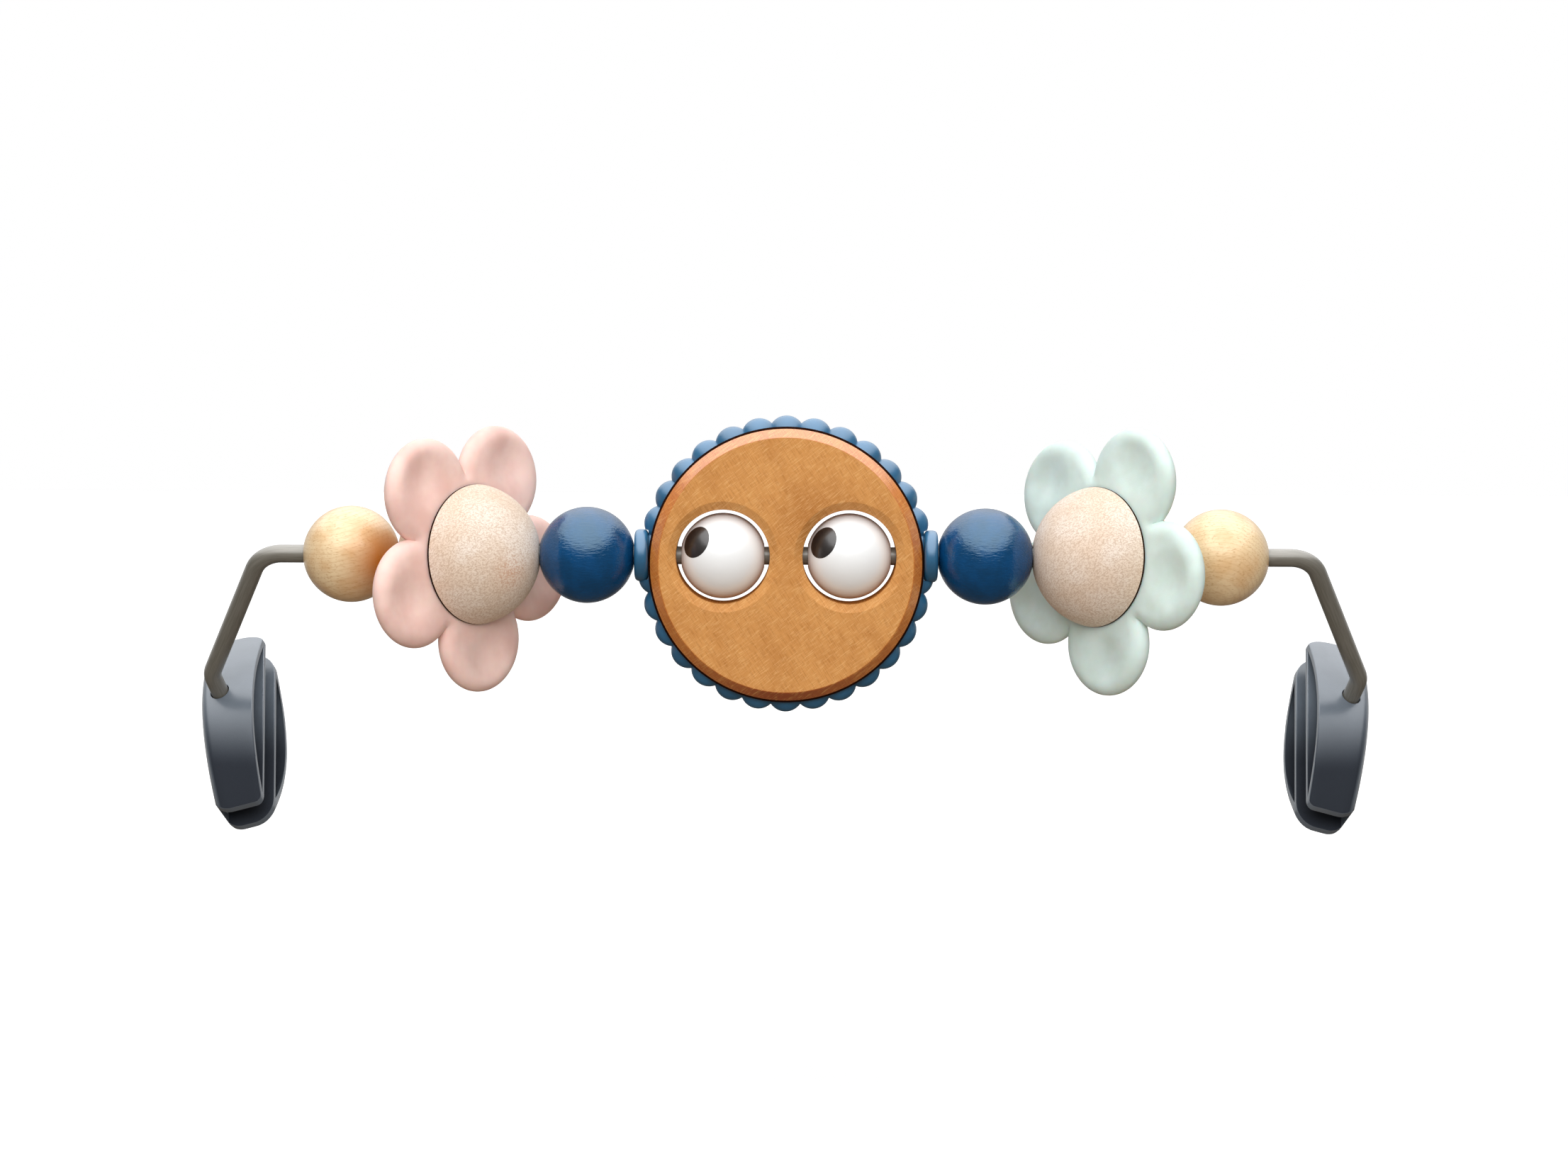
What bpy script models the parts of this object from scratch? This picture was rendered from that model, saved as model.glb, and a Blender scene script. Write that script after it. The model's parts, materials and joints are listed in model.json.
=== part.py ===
"""Toy bar for a baby bouncer: a bent steel rod that carries wooden beads, two flowers and a round face.

Run it with blender --background --python part.py, or from Blender's text editor. It works in metres with +Z up.
+X runs along the bar to the right, and +Y away from whoever looks at the face. The origin lies midway between
the slots of the two clips, which hook over the side edges of the bouncer's seat.
"""

import math

import bmesh
import bpy
from mathutils import Matrix, Vector

MM = 0.001

# Fits
GAP = 0.3 * MM
BORE_CLEARANCE = 0.4 * MM
OVERRUN = 5.0 * MM
WELD = 0.001 * MM

# Rod: the straight bar, an arm at each end, and a short stub into each clip
ROD_DIAMETER = 6.0 * MM
BAR_HEIGHT = 64.5 * MM
BAR_FORWARD = 41.6 * MM
BAR_BEND_RADIUS = 10.5 * MM
STUB_BEND_RADIUS = 8.0 * MM
STUB_LENGTH = 9.0 * MM
STUB_FALL = math.radians(47.4)
STUB_TURN = math.radians(17.0)
END_PLAY = 4.2 * MM
ROD_BEVEL_STEPS = 4
BEND_STEPS = 7

# Beads: the flat round each bore is a land beyond the bore's edge
BEAD_DIAMETER = 32.0 * MM
BEAD_LAND = 0.6 * MM
BEAD_SIDES = 24
BEAD_STEPS = 9

# Face: a disc with two eye holes on the rod's line, above the disc's centre
EYE_DIAMETER = 28.4 * MM
EYE_LAND = 0.4 * MM
EYE_HOLE_CLEARANCE = 1.3 * MM
EYE_HOLE_CHAMFER = 2.5 * MM
EYE_BRIDGE = 10.8 * MM
EYE_LINE_RISE = 2.7 * MM
FACE_SIDE_WALL = 9.2 * MM
FACE_CHAMFER = 3.4 * MM
FACE_LIP = 1.1 * MM
FACE_SIDES = 64
EYE_HOLE_SIDES = 36
PUPIL_DIAMETER = 10.9 * MM
PUPIL_FILM = 0.15 * MM
PUPIL_ROOT = 1.0 * MM
PUPIL_TURN = math.radians(44.5)
PUPIL_LIFT = math.radians(21.6)
PUPIL_SIDES = 20
PUPIL_STEPS = 2

# Scalloped ring in the groove of the disc's rim
SCALLOP_THICKNESS = 8.4 * MM
SCALLOP_SEAT_DEPTH = 4.1 * MM
BUMP_PROUD = 3.6 * MM
BUMP_DIP = 2.3 * MM
BUMP_WIDTH = 10.3 * MM
BUMP_SECTIONS = 4
SCALLOP_POINTS = 7

# Collars between the disc and the blue beads
COLLAR_DIAMETER = 17.3 * MM
COLLAR_THICKNESS = 4.3 * MM
COLLAR_ROUNDING = 1.9 * MM
COLLAR_SIDES = 24
COLLAR_STEPS = 3

# Flowers: a ball drilled at a slant, with a petal ring in its groove
FLOWER_BALL_DIAMETER = 47.2 * MM
FLOWER_SLANT = math.radians(50.0)
FLOWER_TURN = math.radians(-4.0)
PETAL_SEAT_DEPTH = 3.0 * MM
PETAL_THICKNESS = 7.0 * MM
PETAL_REACH = 46.0 * MM
PETAL_LENGTH = 34.8 * MM
PETAL_WIDTH = 35.8 * MM
PETAL_ROUNDING = 5.0 * MM
PETAL_COUNT = 5
PINK_PETAL_TURN = math.radians(63.3)
MINT_PETAL_TURN = math.radians(59.4)
HUB_MARGIN = 4.0 * MM
DISH_DEPTH = 2.2 * MM
DISH_LENGTH = 20.0 * MM
DISH_WIDTH = 22.0 * MM
DISH_SHIFT = 5.5 * MM
BLEND_WIDTH = 0.8 * MM
FLOWER_BALL_SIDES = 30
FLOWER_BALL_STEPS = 7
SECTIONS_PER_PETAL = 13
PETAL_STATION_SHARES = (0.12, 0.36, 0.62, 0.84, 0.96)

# Clips: a slot that is open towards the middle of the bar, with a bowed pocket in front of it and behind it
SEAT_SPAN = 375.0 * MM
CLIP_LENGTH = 73.5 * MM
CLIP_WIDTH = 21.6 * MM
CLIP_TAPER = 3.7 * MM
CLIP_WALL = 2.5 * MM
CLIP_SKIN = 1.7 * MM
CLIP_BACK = 2.0 * MM
CLIP_CORNER = 4.5 * MM
CLIP_BOW = 9.0 * MM
CLIP_OUTER_TOP_ROUNDING = 5.0 * MM
CLIP_OUTER_BOTTOM_ROUNDING = 8.0 * MM
CLIP_FRONT_TOP_REACH = 9.5 * MM
CLIP_FRONT_TOP_FALL = 4.0 * MM
CLIP_FRONT_BOTTOM_ROUNDING = 3.0 * MM
CLIP_BACK_TOP_REACH = 9.0 * MM
CLIP_BACK_TOP_FALL = 10.5 * MM
CLIP_BACK_BOTTOM_ROUNDING = 8.5 * MM
SLOT_WIDTH = 8.0 * MM
CLIP_YAW = math.radians(12.0)
CLIP_LEAN = math.radians(44.2)
CLIP_TOE = math.radians(7.0)
CLIP_HOLE_RISE = 7.65 * MM
CLIP_HOLE_OFFSET = 2.2 * MM
CLIP_CORNER_STEPS = 4
CLIP_BOW_STEPS = 10

# Washers on the rod's ends
WASHER_DIAMETER = 8.2 * MM
WASHER_THICKNESS = 0.8 * MM
WASHER_ROOM = 1.0 * MM
ROD_END_PROUD = 0.8 * MM
HOLE_SIDES = 24

# Sizes that follow from the ones above
ROD_RADIUS = ROD_DIAMETER / 2
BORE_RADIUS = ROD_RADIUS + BORE_CLEARANCE


def half_length(diameter, land):
    """Half the length of a ball along its bore, where flats of this land are cut round the bore."""
    return math.sqrt((diameter / 2) ** 2 - (BORE_RADIUS + land) ** 2)


BEAD_HALF = half_length(BEAD_DIAMETER, BEAD_LAND)
FLOWER_HALF = half_length(FLOWER_BALL_DIAMETER, BEAD_LAND)
EYE_HOLE_RADIUS = EYE_DIAMETER / 2 + EYE_HOLE_CLEARANCE
EYE_PLACE = EYE_HOLE_RADIUS + EYE_BRIDGE / 2
FACE_RADIUS = EYE_PLACE + EYE_HOLE_RADIUS + FACE_SIDE_WALL
GROOVE_HALF = SCALLOP_THICKNESS / 2 + GAP
GROOVE_RADIUS = FACE_RADIUS - SCALLOP_SEAT_DEPTH - GAP
FACE_HALF = GROOVE_HALF + FACE_LIP + FACE_CHAMFER
COLLAR_PLACE = FACE_RADIUS + GAP + COLLAR_THICKNESS / 2
BLUE_BEAD_PLACE = COLLAR_PLACE + COLLAR_THICKNESS / 2 + GAP + BEAD_HALF
FLOWER_PLACE = BLUE_BEAD_PLACE + BEAD_HALF + GAP + FLOWER_HALF
OUTER_BEAD_PLACE = FLOWER_PLACE + FLOWER_HALF + GAP + BEAD_HALF
CORNER_PLACE = OUTER_BEAD_PLACE + BEAD_HALF + END_PLAY + BAR_BEND_RADIUS
BAR = Vector((0, -BAR_FORWARD, BAR_HEIGHT))
CLIP_DEPTH = SLOT_WIDTH + 2 * CLIP_WALL
SIDES = {"left": -1, "right": 1}


def linear(hex_colour):
    """An sRGB hex colour as linear RGBA."""
    channels = [int(hex_colour[i : i + 2], 16) / 255 for i in (1, 3, 5)]
    return [c / 12.92 if c <= 0.04045 else ((c + 0.055) / 1.055) ** 2.4 for c in channels] + [1.0]


def finish(name, hex_colour, roughness, metallic=0.0):
    """A plain material."""
    material = bpy.data.materials.new(name)
    material.use_nodes = True
    shader = material.node_tree.nodes["Principled BSDF"]
    shader.inputs["Base Color"].default_value = linear(hex_colour)
    shader.inputs["Roughness"].default_value = roughness
    shader.inputs["Metallic"].default_value = metallic
    material.diffuse_color = linear(hex_colour)
    return material


def empty(name, location, rotation=(0, 0, 0), parent=None):
    """A joint's place, to hang pieces on."""
    holder = bpy.data.objects.new(name, None)
    holder.location = location
    holder.rotation_euler = rotation
    holder.parent = parent
    bpy.context.scene.collection.objects.link(holder)
    return holder


def placed(name, mesh, materials, parent=None, location=(0, 0, 0), rotation=(0, 0, 0)):
    """An object made from a bmesh, smooth where its faces meet at a small angle."""
    bmesh.ops.recalc_face_normals(mesh, faces=mesh.faces[:])
    data = bpy.data.meshes.new(name)
    mesh.to_mesh(data)
    mesh.free()
    data.shade_smooth()
    data.set_sharp_from_angle(angle=math.radians(35))
    for material in materials:
        data.materials.append(material)
    piece = bpy.data.objects.new(name, data)
    piece.parent = parent
    piece.location = location
    piece.rotation_euler = rotation
    bpy.context.scene.collection.objects.link(piece)
    return piece


def cut(piece, cutter):
    """Takes a cutter's shape out of a piece."""
    cutter.hide_render = True
    cutter.display_type = "WIRE"
    modifier = piece.modifiers.new(cutter.name, "BOOLEAN")
    modifier.operation = "DIFFERENCE"
    modifier.object = cutter


def turned(profile, sides, closed=True, turn=None):
    """A mesh spun about +X from (place along X, radius) points, then turned by a matrix."""
    mesh = bmesh.new()
    points = [mesh.verts.new((along, 0, radius)) for along, radius in profile]
    pairs = list(zip(points, points[1:]))
    if closed:
        pairs.append((points[-1], points[0]))
    edges = [mesh.edges.new(pair) for pair in pairs]
    bmesh.ops.spin(
        mesh, geom=points + edges, cent=(0, 0, 0), axis=(1, 0, 0), angle=math.tau, steps=sides
    )
    bmesh.ops.remove_doubles(mesh, verts=mesh.verts[:], dist=WELD)
    if turn:
        bmesh.ops.transform(mesh, matrix=turn, verts=mesh.verts[:])
    return mesh


def lofted(loops):
    """A mesh with one loop of points after another, and the first and last loops closed by a face."""
    mesh = bmesh.new()
    rows = [[mesh.verts.new(point) for point in loop] for loop in loops]
    for row, after in zip(rows, rows[1:]):
        for i, _ in enumerate(row):
            mesh.faces.new((row[i - 1], row[i], after[i], after[i - 1]))
    mesh.faces.new(rows[0])
    mesh.faces.new(rows[-1])
    return mesh


def ringed(loops):
    """A mesh with one loop of points after another, and the last loop joined to the first."""
    mesh = bmesh.new()
    rows = [[mesh.verts.new(point) for point in loop] for loop in loops]
    for row, before in zip(rows, rows[-1:] + rows[:-1]):
        for i, _ in enumerate(row):
            mesh.faces.new((before[i - 1], before[i], row[i], row[i - 1]))
    return mesh


def arc(centre, radius, start, end, steps):
    """Points of an arc in a plane, from one angle to another."""
    angles = [start + (end - start) * i / steps for i in range(steps + 1)]
    return [(centre[0] + radius * math.cos(a), centre[1] + radius * math.sin(a)) for a in angles]


def ball_profile(diameter, land, steps):
    """The outline of a ball with a bore along X and a flat at each end of it."""
    half = half_length(diameter, land)
    corner = math.atan2(BORE_RADIUS + land, half)
    outside = arc((0, 0), diameter / 2, math.pi - corner, corner, steps)
    return outside + [(half, BORE_RADIUS), (-half, BORE_RADIUS)]


def ball_cutter(diameter, land):
    """What is cut from a ball to drill it along X and flatten both ends of the bore."""
    half = half_length(diameter, land)
    end = diameter / 2 + OVERRUN
    return turned(
        [(-end, 0), (-end, end), (-half, end), (-half, BORE_RADIUS)]
        + [(half, BORE_RADIUS), (half, end), (end, end), (end, 0)],
        HOLE_SIDES,
        closed=False,
    )


def make_beads(bar_axis, blue, varnished):
    for side, sign in SIDES.items():
        for name, place, material in (
            (f"{side}_outer_bead", OUTER_BEAD_PLACE, varnished),
            (f"{side}_blue_bead", BLUE_BEAD_PLACE, blue),
        ):
            mesh = turned(ball_profile(BEAD_DIAMETER, BEAD_LAND, BEAD_STEPS), BEAD_SIDES)
            placed(name, mesh, [material], bar_axis, (sign * place, 0, 0))


def make_collars(face_turn, soft_blue):
    half = COLLAR_THICKNESS / 2
    shoulder = COLLAR_DIAMETER / 2 - COLLAR_ROUNDING
    inset = half - COLLAR_ROUNDING
    profile = [(-half, BORE_RADIUS)]
    profile += arc((-inset, shoulder), COLLAR_ROUNDING, math.pi, math.pi / 2, COLLAR_STEPS)
    profile += arc((inset, shoulder), COLLAR_ROUNDING, math.pi / 2, 0, COLLAR_STEPS)
    profile += [(half, BORE_RADIUS)]
    for side, sign in SIDES.items():
        mesh = turned(profile, COLLAR_SIDES)
        placed(f"{side}_collar", mesh, [soft_blue], face_turn, (sign * COLLAR_PLACE, 0, 0))


def make_face_disc(face_turn, stained_wood):
    to_y = Matrix.Rotation(math.pi / 2, 4, "Z")
    front = [
        (GROOVE_HALF, GROOVE_RADIUS),
        (GROOVE_HALF, FACE_RADIUS),
        (FACE_HALF - FACE_CHAMFER, FACE_RADIUS),
        (FACE_HALF, FACE_RADIUS - FACE_CHAMFER),
        (FACE_HALF, 0),
    ]
    back = [(-along, radius) for along, radius in reversed(front)]
    mesh = turned(back + front, FACE_SIDES, closed=False, turn=to_y)
    disc = placed("face_disc", mesh, [stained_wood], face_turn, (0, 0, -EYE_LINE_RISE))

    mouth = [
        (FACE_HALF - EYE_HOLE_CHAMFER, EYE_HOLE_RADIUS),
        (FACE_HALF + OVERRUN, EYE_HOLE_RADIUS + EYE_HOLE_CHAMFER + OVERRUN),
        (FACE_HALF + OVERRUN, 0),
    ]
    far_mouth = [(-along, radius) for along, radius in reversed(mouth)]
    for side, sign in SIDES.items():
        mesh = turned(far_mouth + mouth, EYE_HOLE_SIDES, closed=False, turn=to_y)
        cut(disc, placed(f"{side}_eye_hole_cutter", mesh, [], face_turn, (sign * EYE_PLACE, 0, 0)))

    end = FACE_RADIUS + OVERRUN
    mesh = turned([(-end, 0), (-end, BORE_RADIUS), (end, BORE_RADIUS), (end, 0)], HOLE_SIDES, closed=False)
    cut(disc, placed("face_bore_cutter", mesh, [], face_turn))


def make_scalloped_ring(face_turn, soft_blue):
    crest = FACE_RADIUS + BUMP_PROUD
    count = round(math.tau * crest / BUMP_WIDTH)
    step = math.tau / count
    rise = crest - (crest - BUMP_DIP) * math.cos(step / 2)
    chord_half = (crest - BUMP_DIP) * math.sin(step / 2)
    bump_radius = (chord_half**2 + rise**2) / (2 * rise)
    bump_centre = crest - bump_radius
    inside = FACE_RADIUS - SCALLOP_SEAT_DEPTH
    loops = []
    for i in range(count * BUMP_SECTIONS):
        angle = math.pi / 2 + step * i / BUMP_SECTIONS
        off = step * ((i / BUMP_SECTIONS + 0.5) % 1 - 0.5)
        reach = math.sqrt(bump_radius**2 - (bump_centre * math.sin(off)) ** 2)
        centre = bump_centre * math.cos(off)
        thickness = SCALLOP_THICKNESS / 2 * reach / bump_radius
        limit = math.acos(max(-1, (inside - centre) / reach))
        loop = []
        for j in range(SCALLOP_POINTS):
            around = limit * (1 - 2 * j / (SCALLOP_POINTS - 1))
            radius = centre + reach * math.cos(around)
            loop.append((radius * math.cos(angle), thickness * math.sin(around), radius * math.sin(angle)))
        loops.append(loop)
    ring = placed("scalloped_ring", ringed(loops), [soft_blue], face_turn, (0, 0, -EYE_LINE_RISE))

    seat = COLLAR_DIAMETER / 2 + GAP
    end = crest + OVERRUN
    mesh = turned(
        [(-end, 0), (-end, seat), (-FACE_RADIUS, seat), (-FACE_RADIUS, BORE_RADIUS)]
        + [(FACE_RADIUS, BORE_RADIUS), (FACE_RADIUS, seat), (end, seat), (end, 0)],
        HOLE_SIDES,
        closed=False,
    )
    cut(ring, placed("collar_seat_cutter", mesh, [], face_turn))


def make_eyes(bar_axis, white_gloss, dark_gloss):
    radius = EYE_DIAMETER / 2
    spread = math.asin(PUPIL_DIAMETER / EYE_DIAMETER)
    film = radius + PUPIL_FILM
    profile = arc((0, 0), film, 0, spread, PUPIL_STEPS)
    profile += [((radius - PUPIL_ROOT) * math.cos(spread), (radius - PUPIL_ROOT) * math.sin(spread))]
    profile += [((radius - PUPIL_ROOT) * math.cos(spread), 0)]
    gaze = Vector(
        (
            -math.sin(PUPIL_TURN) * math.cos(PUPIL_LIFT),
            -math.cos(PUPIL_TURN) * math.cos(PUPIL_LIFT),
            math.sin(PUPIL_LIFT),
        )
    )
    aim = gaze.to_track_quat("X", "Z").to_matrix().to_4x4()
    for side, sign in SIDES.items():
        place = (sign * EYE_PLACE, 0, 0)
        mesh = turned(ball_profile(EYE_DIAMETER, EYE_LAND, BEAD_STEPS), BEAD_SIDES)
        ball = placed(f"{side}_eye_ball", mesh, [white_gloss, dark_gloss], bar_axis, place)
        mesh = turned(profile, PUPIL_SIDES, closed=False, turn=aim)
        for face in mesh.faces:
            face.material_index = 1
        pupil = placed(f"{side}_pupil_shape", mesh, [white_gloss, dark_gloss], bar_axis, place)
        pupil.hide_render = True
        pupil.display_type = "WIRE"
        modifier = ball.modifiers.new("pupil", "BOOLEAN")
        modifier.operation = "UNION"
        modifier.object = pupil


def rounded(distance, width, height):
    """The height of a surface that rises over a rounded edge, this far inside the edge."""
    share = min(max(distance / width, 0), 1)
    return height * math.sqrt(1 - (1 - share) ** 2)


def blended(first, second):
    """The larger of two heights, with a soft crease between them."""
    middle = (first + second) / 2
    return middle + math.sqrt((first - second) ** 2 / 4 + BLEND_WIDTH**2 / 16)


def petal_edge(off):
    """How far the ring reaches, at this angle from a petal's middle: to the petal's edge, or to the hub's."""
    hub_edge = FLOWER_BALL_DIAMETER / 2 + HUB_MARGIN
    long_half = PETAL_LENGTH / 2
    wide_half = PETAL_WIDTH / 2
    centre = PETAL_REACH - long_half
    a = (math.cos(off) / long_half) ** 2 + (math.sin(off) / wide_half) ** 2
    b = -centre * math.cos(off) / long_half**2
    c = (centre / long_half) ** 2 - 1
    if b * b < a * c:
        return hub_edge
    return max(hub_edge, (-b + math.sqrt(b * b - a * c)) / a)


def petal_heights(radius, off):
    """The front and back heights of a petal ring over its middle plane."""
    long_half = PETAL_LENGTH / 2
    wide_half = PETAL_WIDTH / 2
    along = radius * math.cos(off) - (PETAL_REACH - long_half)
    across = radius * math.sin(off)
    size = math.hypot(along / long_half, across / wide_half)
    petal = rounded((1 - size) * (long_half + wide_half) / 2, PETAL_ROUNDING, PETAL_THICKNESS / 2)
    hub_edge = FLOWER_BALL_DIAMETER / 2 + HUB_MARGIN
    hub = rounded(hub_edge - radius, HUB_MARGIN, PETAL_THICKNESS / 2)
    dish = ((along - DISH_SHIFT) / (DISH_LENGTH / 2)) ** 2 + (across / (DISH_WIDTH / 2)) ** 2
    hollow = DISH_DEPTH * max(0, 1 - dish) ** 2
    limit = PETAL_THICKNESS / 2
    front = min(blended(petal - hollow, hub), limit)
    back = min(blended(petal, hub), limit)
    return front, back


def petal_section(angle, turn):
    """One loop of the petal ring, from its seat out over the front and back over the rear."""
    step = math.tau / PETAL_COUNT
    off = (angle - turn + step / 2) % step - step / 2
    inside = FLOWER_BALL_DIAMETER / 2 - PETAL_SEAT_DEPTH
    edge = petal_edge(off)
    radii = [inside] + [inside + (edge - inside) * share for share in PETAL_STATION_SHARES]
    heights = [petal_heights(radius, off) for radius in radii]
    front = [(radius, height[0]) for radius, height in zip(radii, heights)]
    back = [(radius, -height[1]) for radius, height in zip(radii, heights)]
    return [
        (radius * math.cos(angle), -height, radius * math.sin(angle))
        for radius, height in front + [(edge, 0)] + back[::-1]
    ]


def make_flowers(bar_axis, raw_wood, pink, mint):
    slot_half = PETAL_THICKNESS / 2 + GAP
    radius = FLOWER_BALL_DIAMETER / 2
    floor = radius - PETAL_SEAT_DEPTH - GAP
    rim = math.asin(slot_half / radius)
    for side, name, material, turn in (
        ("left", "pink", pink, PINK_PETAL_TURN),
        ("right", "mint", mint, MINT_PETAL_TURN),
    ):
        sign = SIDES[side]
        hinge = empty(f"{name}_flower_turn", (sign * FLOWER_PLACE, 0, 0), (FLOWER_TURN, 0, 0), bar_axis)
        slant = (0, 0, -sign * FLOWER_SLANT)
        profile = arc((0, 0), radius, math.pi, math.pi / 2 + rim, FLOWER_BALL_STEPS)
        profile += [(-slot_half, floor), (slot_half, floor)]
        profile += arc((0, 0), radius, math.pi / 2 - rim, 0, FLOWER_BALL_STEPS)
        profile[0] = (-radius, 0)
        profile[-1] = (radius, 0)
        to_y = Matrix.Rotation(math.pi / 2, 4, "Z")
        mesh = turned(profile, FLOWER_BALL_SIDES, closed=False, turn=to_y)
        ball = placed(f"{name}_flower_ball", mesh, [raw_wood], hinge, rotation=slant)
        mesh = ball_cutter(FLOWER_BALL_DIAMETER, BEAD_LAND)
        cut(ball, placed(f"{name}_bore_cutter", mesh, [], hinge))

        count = PETAL_COUNT * SECTIONS_PER_PETAL
        loops = [petal_section(turn + math.tau * i / count, turn) for i in range(count)]
        placed(f"{name}_petal_ring", ringed(loops), [material], hinge, rotation=slant)


def clip_point(sign, across, deep, up):
    """A point of a clip from its slot's middle: across is from the outer side, deep from the slot's front wall."""
    lean_in = CLIP_TAPER * (1 - across / CLIP_WIDTH) * (0.5 - up / CLIP_LENGTH)
    return Vector((-sign * (across + lean_in - CLIP_WIDTH / 2), deep - CLIP_DEPTH / 2, up))


def corner_drop(distance, radius):
    """How far a rounded corner falls back, this far from its side."""
    share = min(max(0, 1 - distance / radius), 1)
    return radius * (1 - math.sqrt(1 - share**2))


def clip_ends(across, behind):
    """The lowest and highest places of a clip's front or back, this far in from its outer side."""
    inward = CLIP_WIDTH - across
    low = corner_drop(across, CLIP_OUTER_BOTTOM_ROUNDING)
    high = corner_drop(across, CLIP_OUTER_TOP_ROUNDING)
    if behind:
        low += corner_drop(inward, CLIP_BACK_BOTTOM_ROUNDING)
        high += corner_drop(inward, CLIP_BACK_TOP_REACH) * CLIP_BACK_TOP_FALL / CLIP_BACK_TOP_REACH
    else:
        low += corner_drop(inward, CLIP_FRONT_BOTTOM_ROUNDING)
        high += corner_drop(inward, CLIP_FRONT_TOP_REACH) * CLIP_FRONT_TOP_FALL / CLIP_FRONT_TOP_REACH
    return low - CLIP_LENGTH / 2, CLIP_LENGTH / 2 - high


def clip_stations(start):
    """Places across a clip where its outline is drawn, from this one in, closer together where it is rounded."""
    turns = [math.pi / 2 * i / CLIP_CORNER_STEPS for i in range(CLIP_CORNER_STEPS + 1)]
    outer = [CLIP_CORNER * (1 - math.cos(turn)) for turn in turns] + [CLIP_OUTER_BOTTOM_ROUNDING]
    inner = [CLIP_WIDTH - CLIP_FRONT_TOP_REACH * (1 - math.sin(turn)) for turn in turns]
    return [start] + sorted(place for place in outer + inner if place > start)


def clip_bow(share):
    """How far a clip's front and back stand out, at a share of its length."""
    return CLIP_BOW * 4 * share * (1 - share)


def clip_loop(sign, across):
    """A clip's outline seen from its side, this far in from its outer side. Front and back meet within the slot."""
    inset = corner_drop(across, CLIP_CORNER)
    shares = [i / CLIP_BOW_STEPS for i in range(CLIP_BOW_STEPS + 1)]
    meet = CLIP_DEPTH / 2 - SLOT_WIDTH / 8
    walls = []
    for behind in (False, True):
        low, high = clip_ends(across, behind)
        bowed = [(inset - clip_bow(s), low + (high - low) * s) for s in shares]
        walls.append([(meet, low), *bowed, (meet, high)])
    front, back = walls
    back = [(CLIP_DEPTH - deep, up) for deep, up in reversed(back)]
    return [clip_point(sign, across, deep, up) for deep, up in front + back]


def pocket_cutter(sign, behind):
    """The space between a bowed wall and the flat wall beside it, both a skin thick."""
    rise = max(2 * CLIP_SKIN - CLIP_WALL, CLIP_SKIN / 4)
    start = (1 - math.sqrt(1 - rise / CLIP_BOW)) / 2
    shares = [start + (1 - 2 * start) * i / CLIP_BOW_STEPS for i in range(CLIP_BOW_STEPS + 1)]
    loops = []
    for across in clip_stations(CLIP_BACK) + [CLIP_WIDTH + OVERRUN]:
        low, high = clip_ends(min(across, CLIP_WIDTH), behind)
        curve = [(CLIP_SKIN - clip_bow(s), low + (high - low) * s) for s in shares]
        if behind:
            curve = [(CLIP_DEPTH - deep, up) for deep, up in curve]
        loops.append([clip_point(sign, across, deep, up) for deep, up in curve])
    return lofted(loops)


def slot_cutter(sign):
    """The slot for the seat's edge, open at both ends and towards the middle of the bar."""
    end = CLIP_LENGTH / 2 + OVERRUN
    corners = [
        (CLIP_WALL, -end),
        (CLIP_WALL, end),
        (CLIP_WALL + SLOT_WIDTH, end),
        (CLIP_WALL + SLOT_WIDTH, -end),
    ]
    stations = (CLIP_BACK, CLIP_WIDTH + OVERRUN)
    return lofted([[clip_point(sign, s, deep, up) for deep, up in corners] for s in stations])


def clip_rotation(sign):
    """How a clip is turned: yawed to its side, leant back, and toed in at the bottom."""
    yaw = Matrix.Rotation(sign * CLIP_YAW, 3, "Z")
    lean = Matrix.Rotation(-CLIP_LEAN, 3, "X")
    toe = Matrix.Rotation(sign * CLIP_TOE, 3, "Y")
    return toe @ lean @ yaw


def clip_hole(sign):
    """The middle of the rod's hole on the clip's bowed front, from the slot's middle, before the clip is turned."""
    across = CLIP_WIDTH / 2 - CLIP_HOLE_OFFSET
    low, high = clip_ends(across, False)
    share = (CLIP_HOLE_RISE - low) / (high - low)
    return clip_point(sign, across, -clip_bow(share), CLIP_HOLE_RISE)


def hole_place(sign):
    """Where the rod enters a clip."""
    return Vector((sign * SEAT_SPAN / 2, 0, 0)) + clip_rotation(sign) @ clip_hole(sign)


def stub_direction(sign):
    """The way the rod's stub goes into a clip."""
    level = math.cos(STUB_FALL)
    return Vector((-sign * math.sin(STUB_TURN) * level, math.cos(STUB_TURN) * level, -math.sin(STUB_FALL)))


def make_clips(clip_plastic):
    for side, sign in SIDES.items():
        hole = clip_hole(sign)
        place = hole_place(sign)
        turn = clip_rotation(sign).to_euler()
        to_hole = Matrix.Translation(-hole)
        mesh = lofted([clip_loop(sign, across) for across in clip_stations(0)])
        bmesh.ops.transform(mesh, matrix=to_hole, verts=mesh.verts[:])
        clip = placed(f"{side}_clip", mesh, [clip_plastic], None, place, turn)
        for name, mesh in (
            ("slot", slot_cutter(sign)),
            ("front_pocket", pocket_cutter(sign, False)),
            ("back_pocket", pocket_cutter(sign, True)),
        ):
            bmesh.ops.transform(mesh, matrix=to_hole, verts=mesh.verts[:])
            cut(clip, placed(f"{side}_{name}_cutter", mesh, [], None, place, turn))
        inner = CLIP_WALL + WASHER_ROOM
        mesh = turned(
            [(-OVERRUN, 0), (-OVERRUN, BORE_RADIUS), (inner, BORE_RADIUS), (inner, 0)],
            HOLE_SIDES,
            closed=False,
        )
        aim = stub_direction(sign).to_track_quat("X", "Z").to_euler()
        cut(clip, placed(f"{side}_clip_hole_cutter", mesh, [], None, place, aim))


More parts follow.
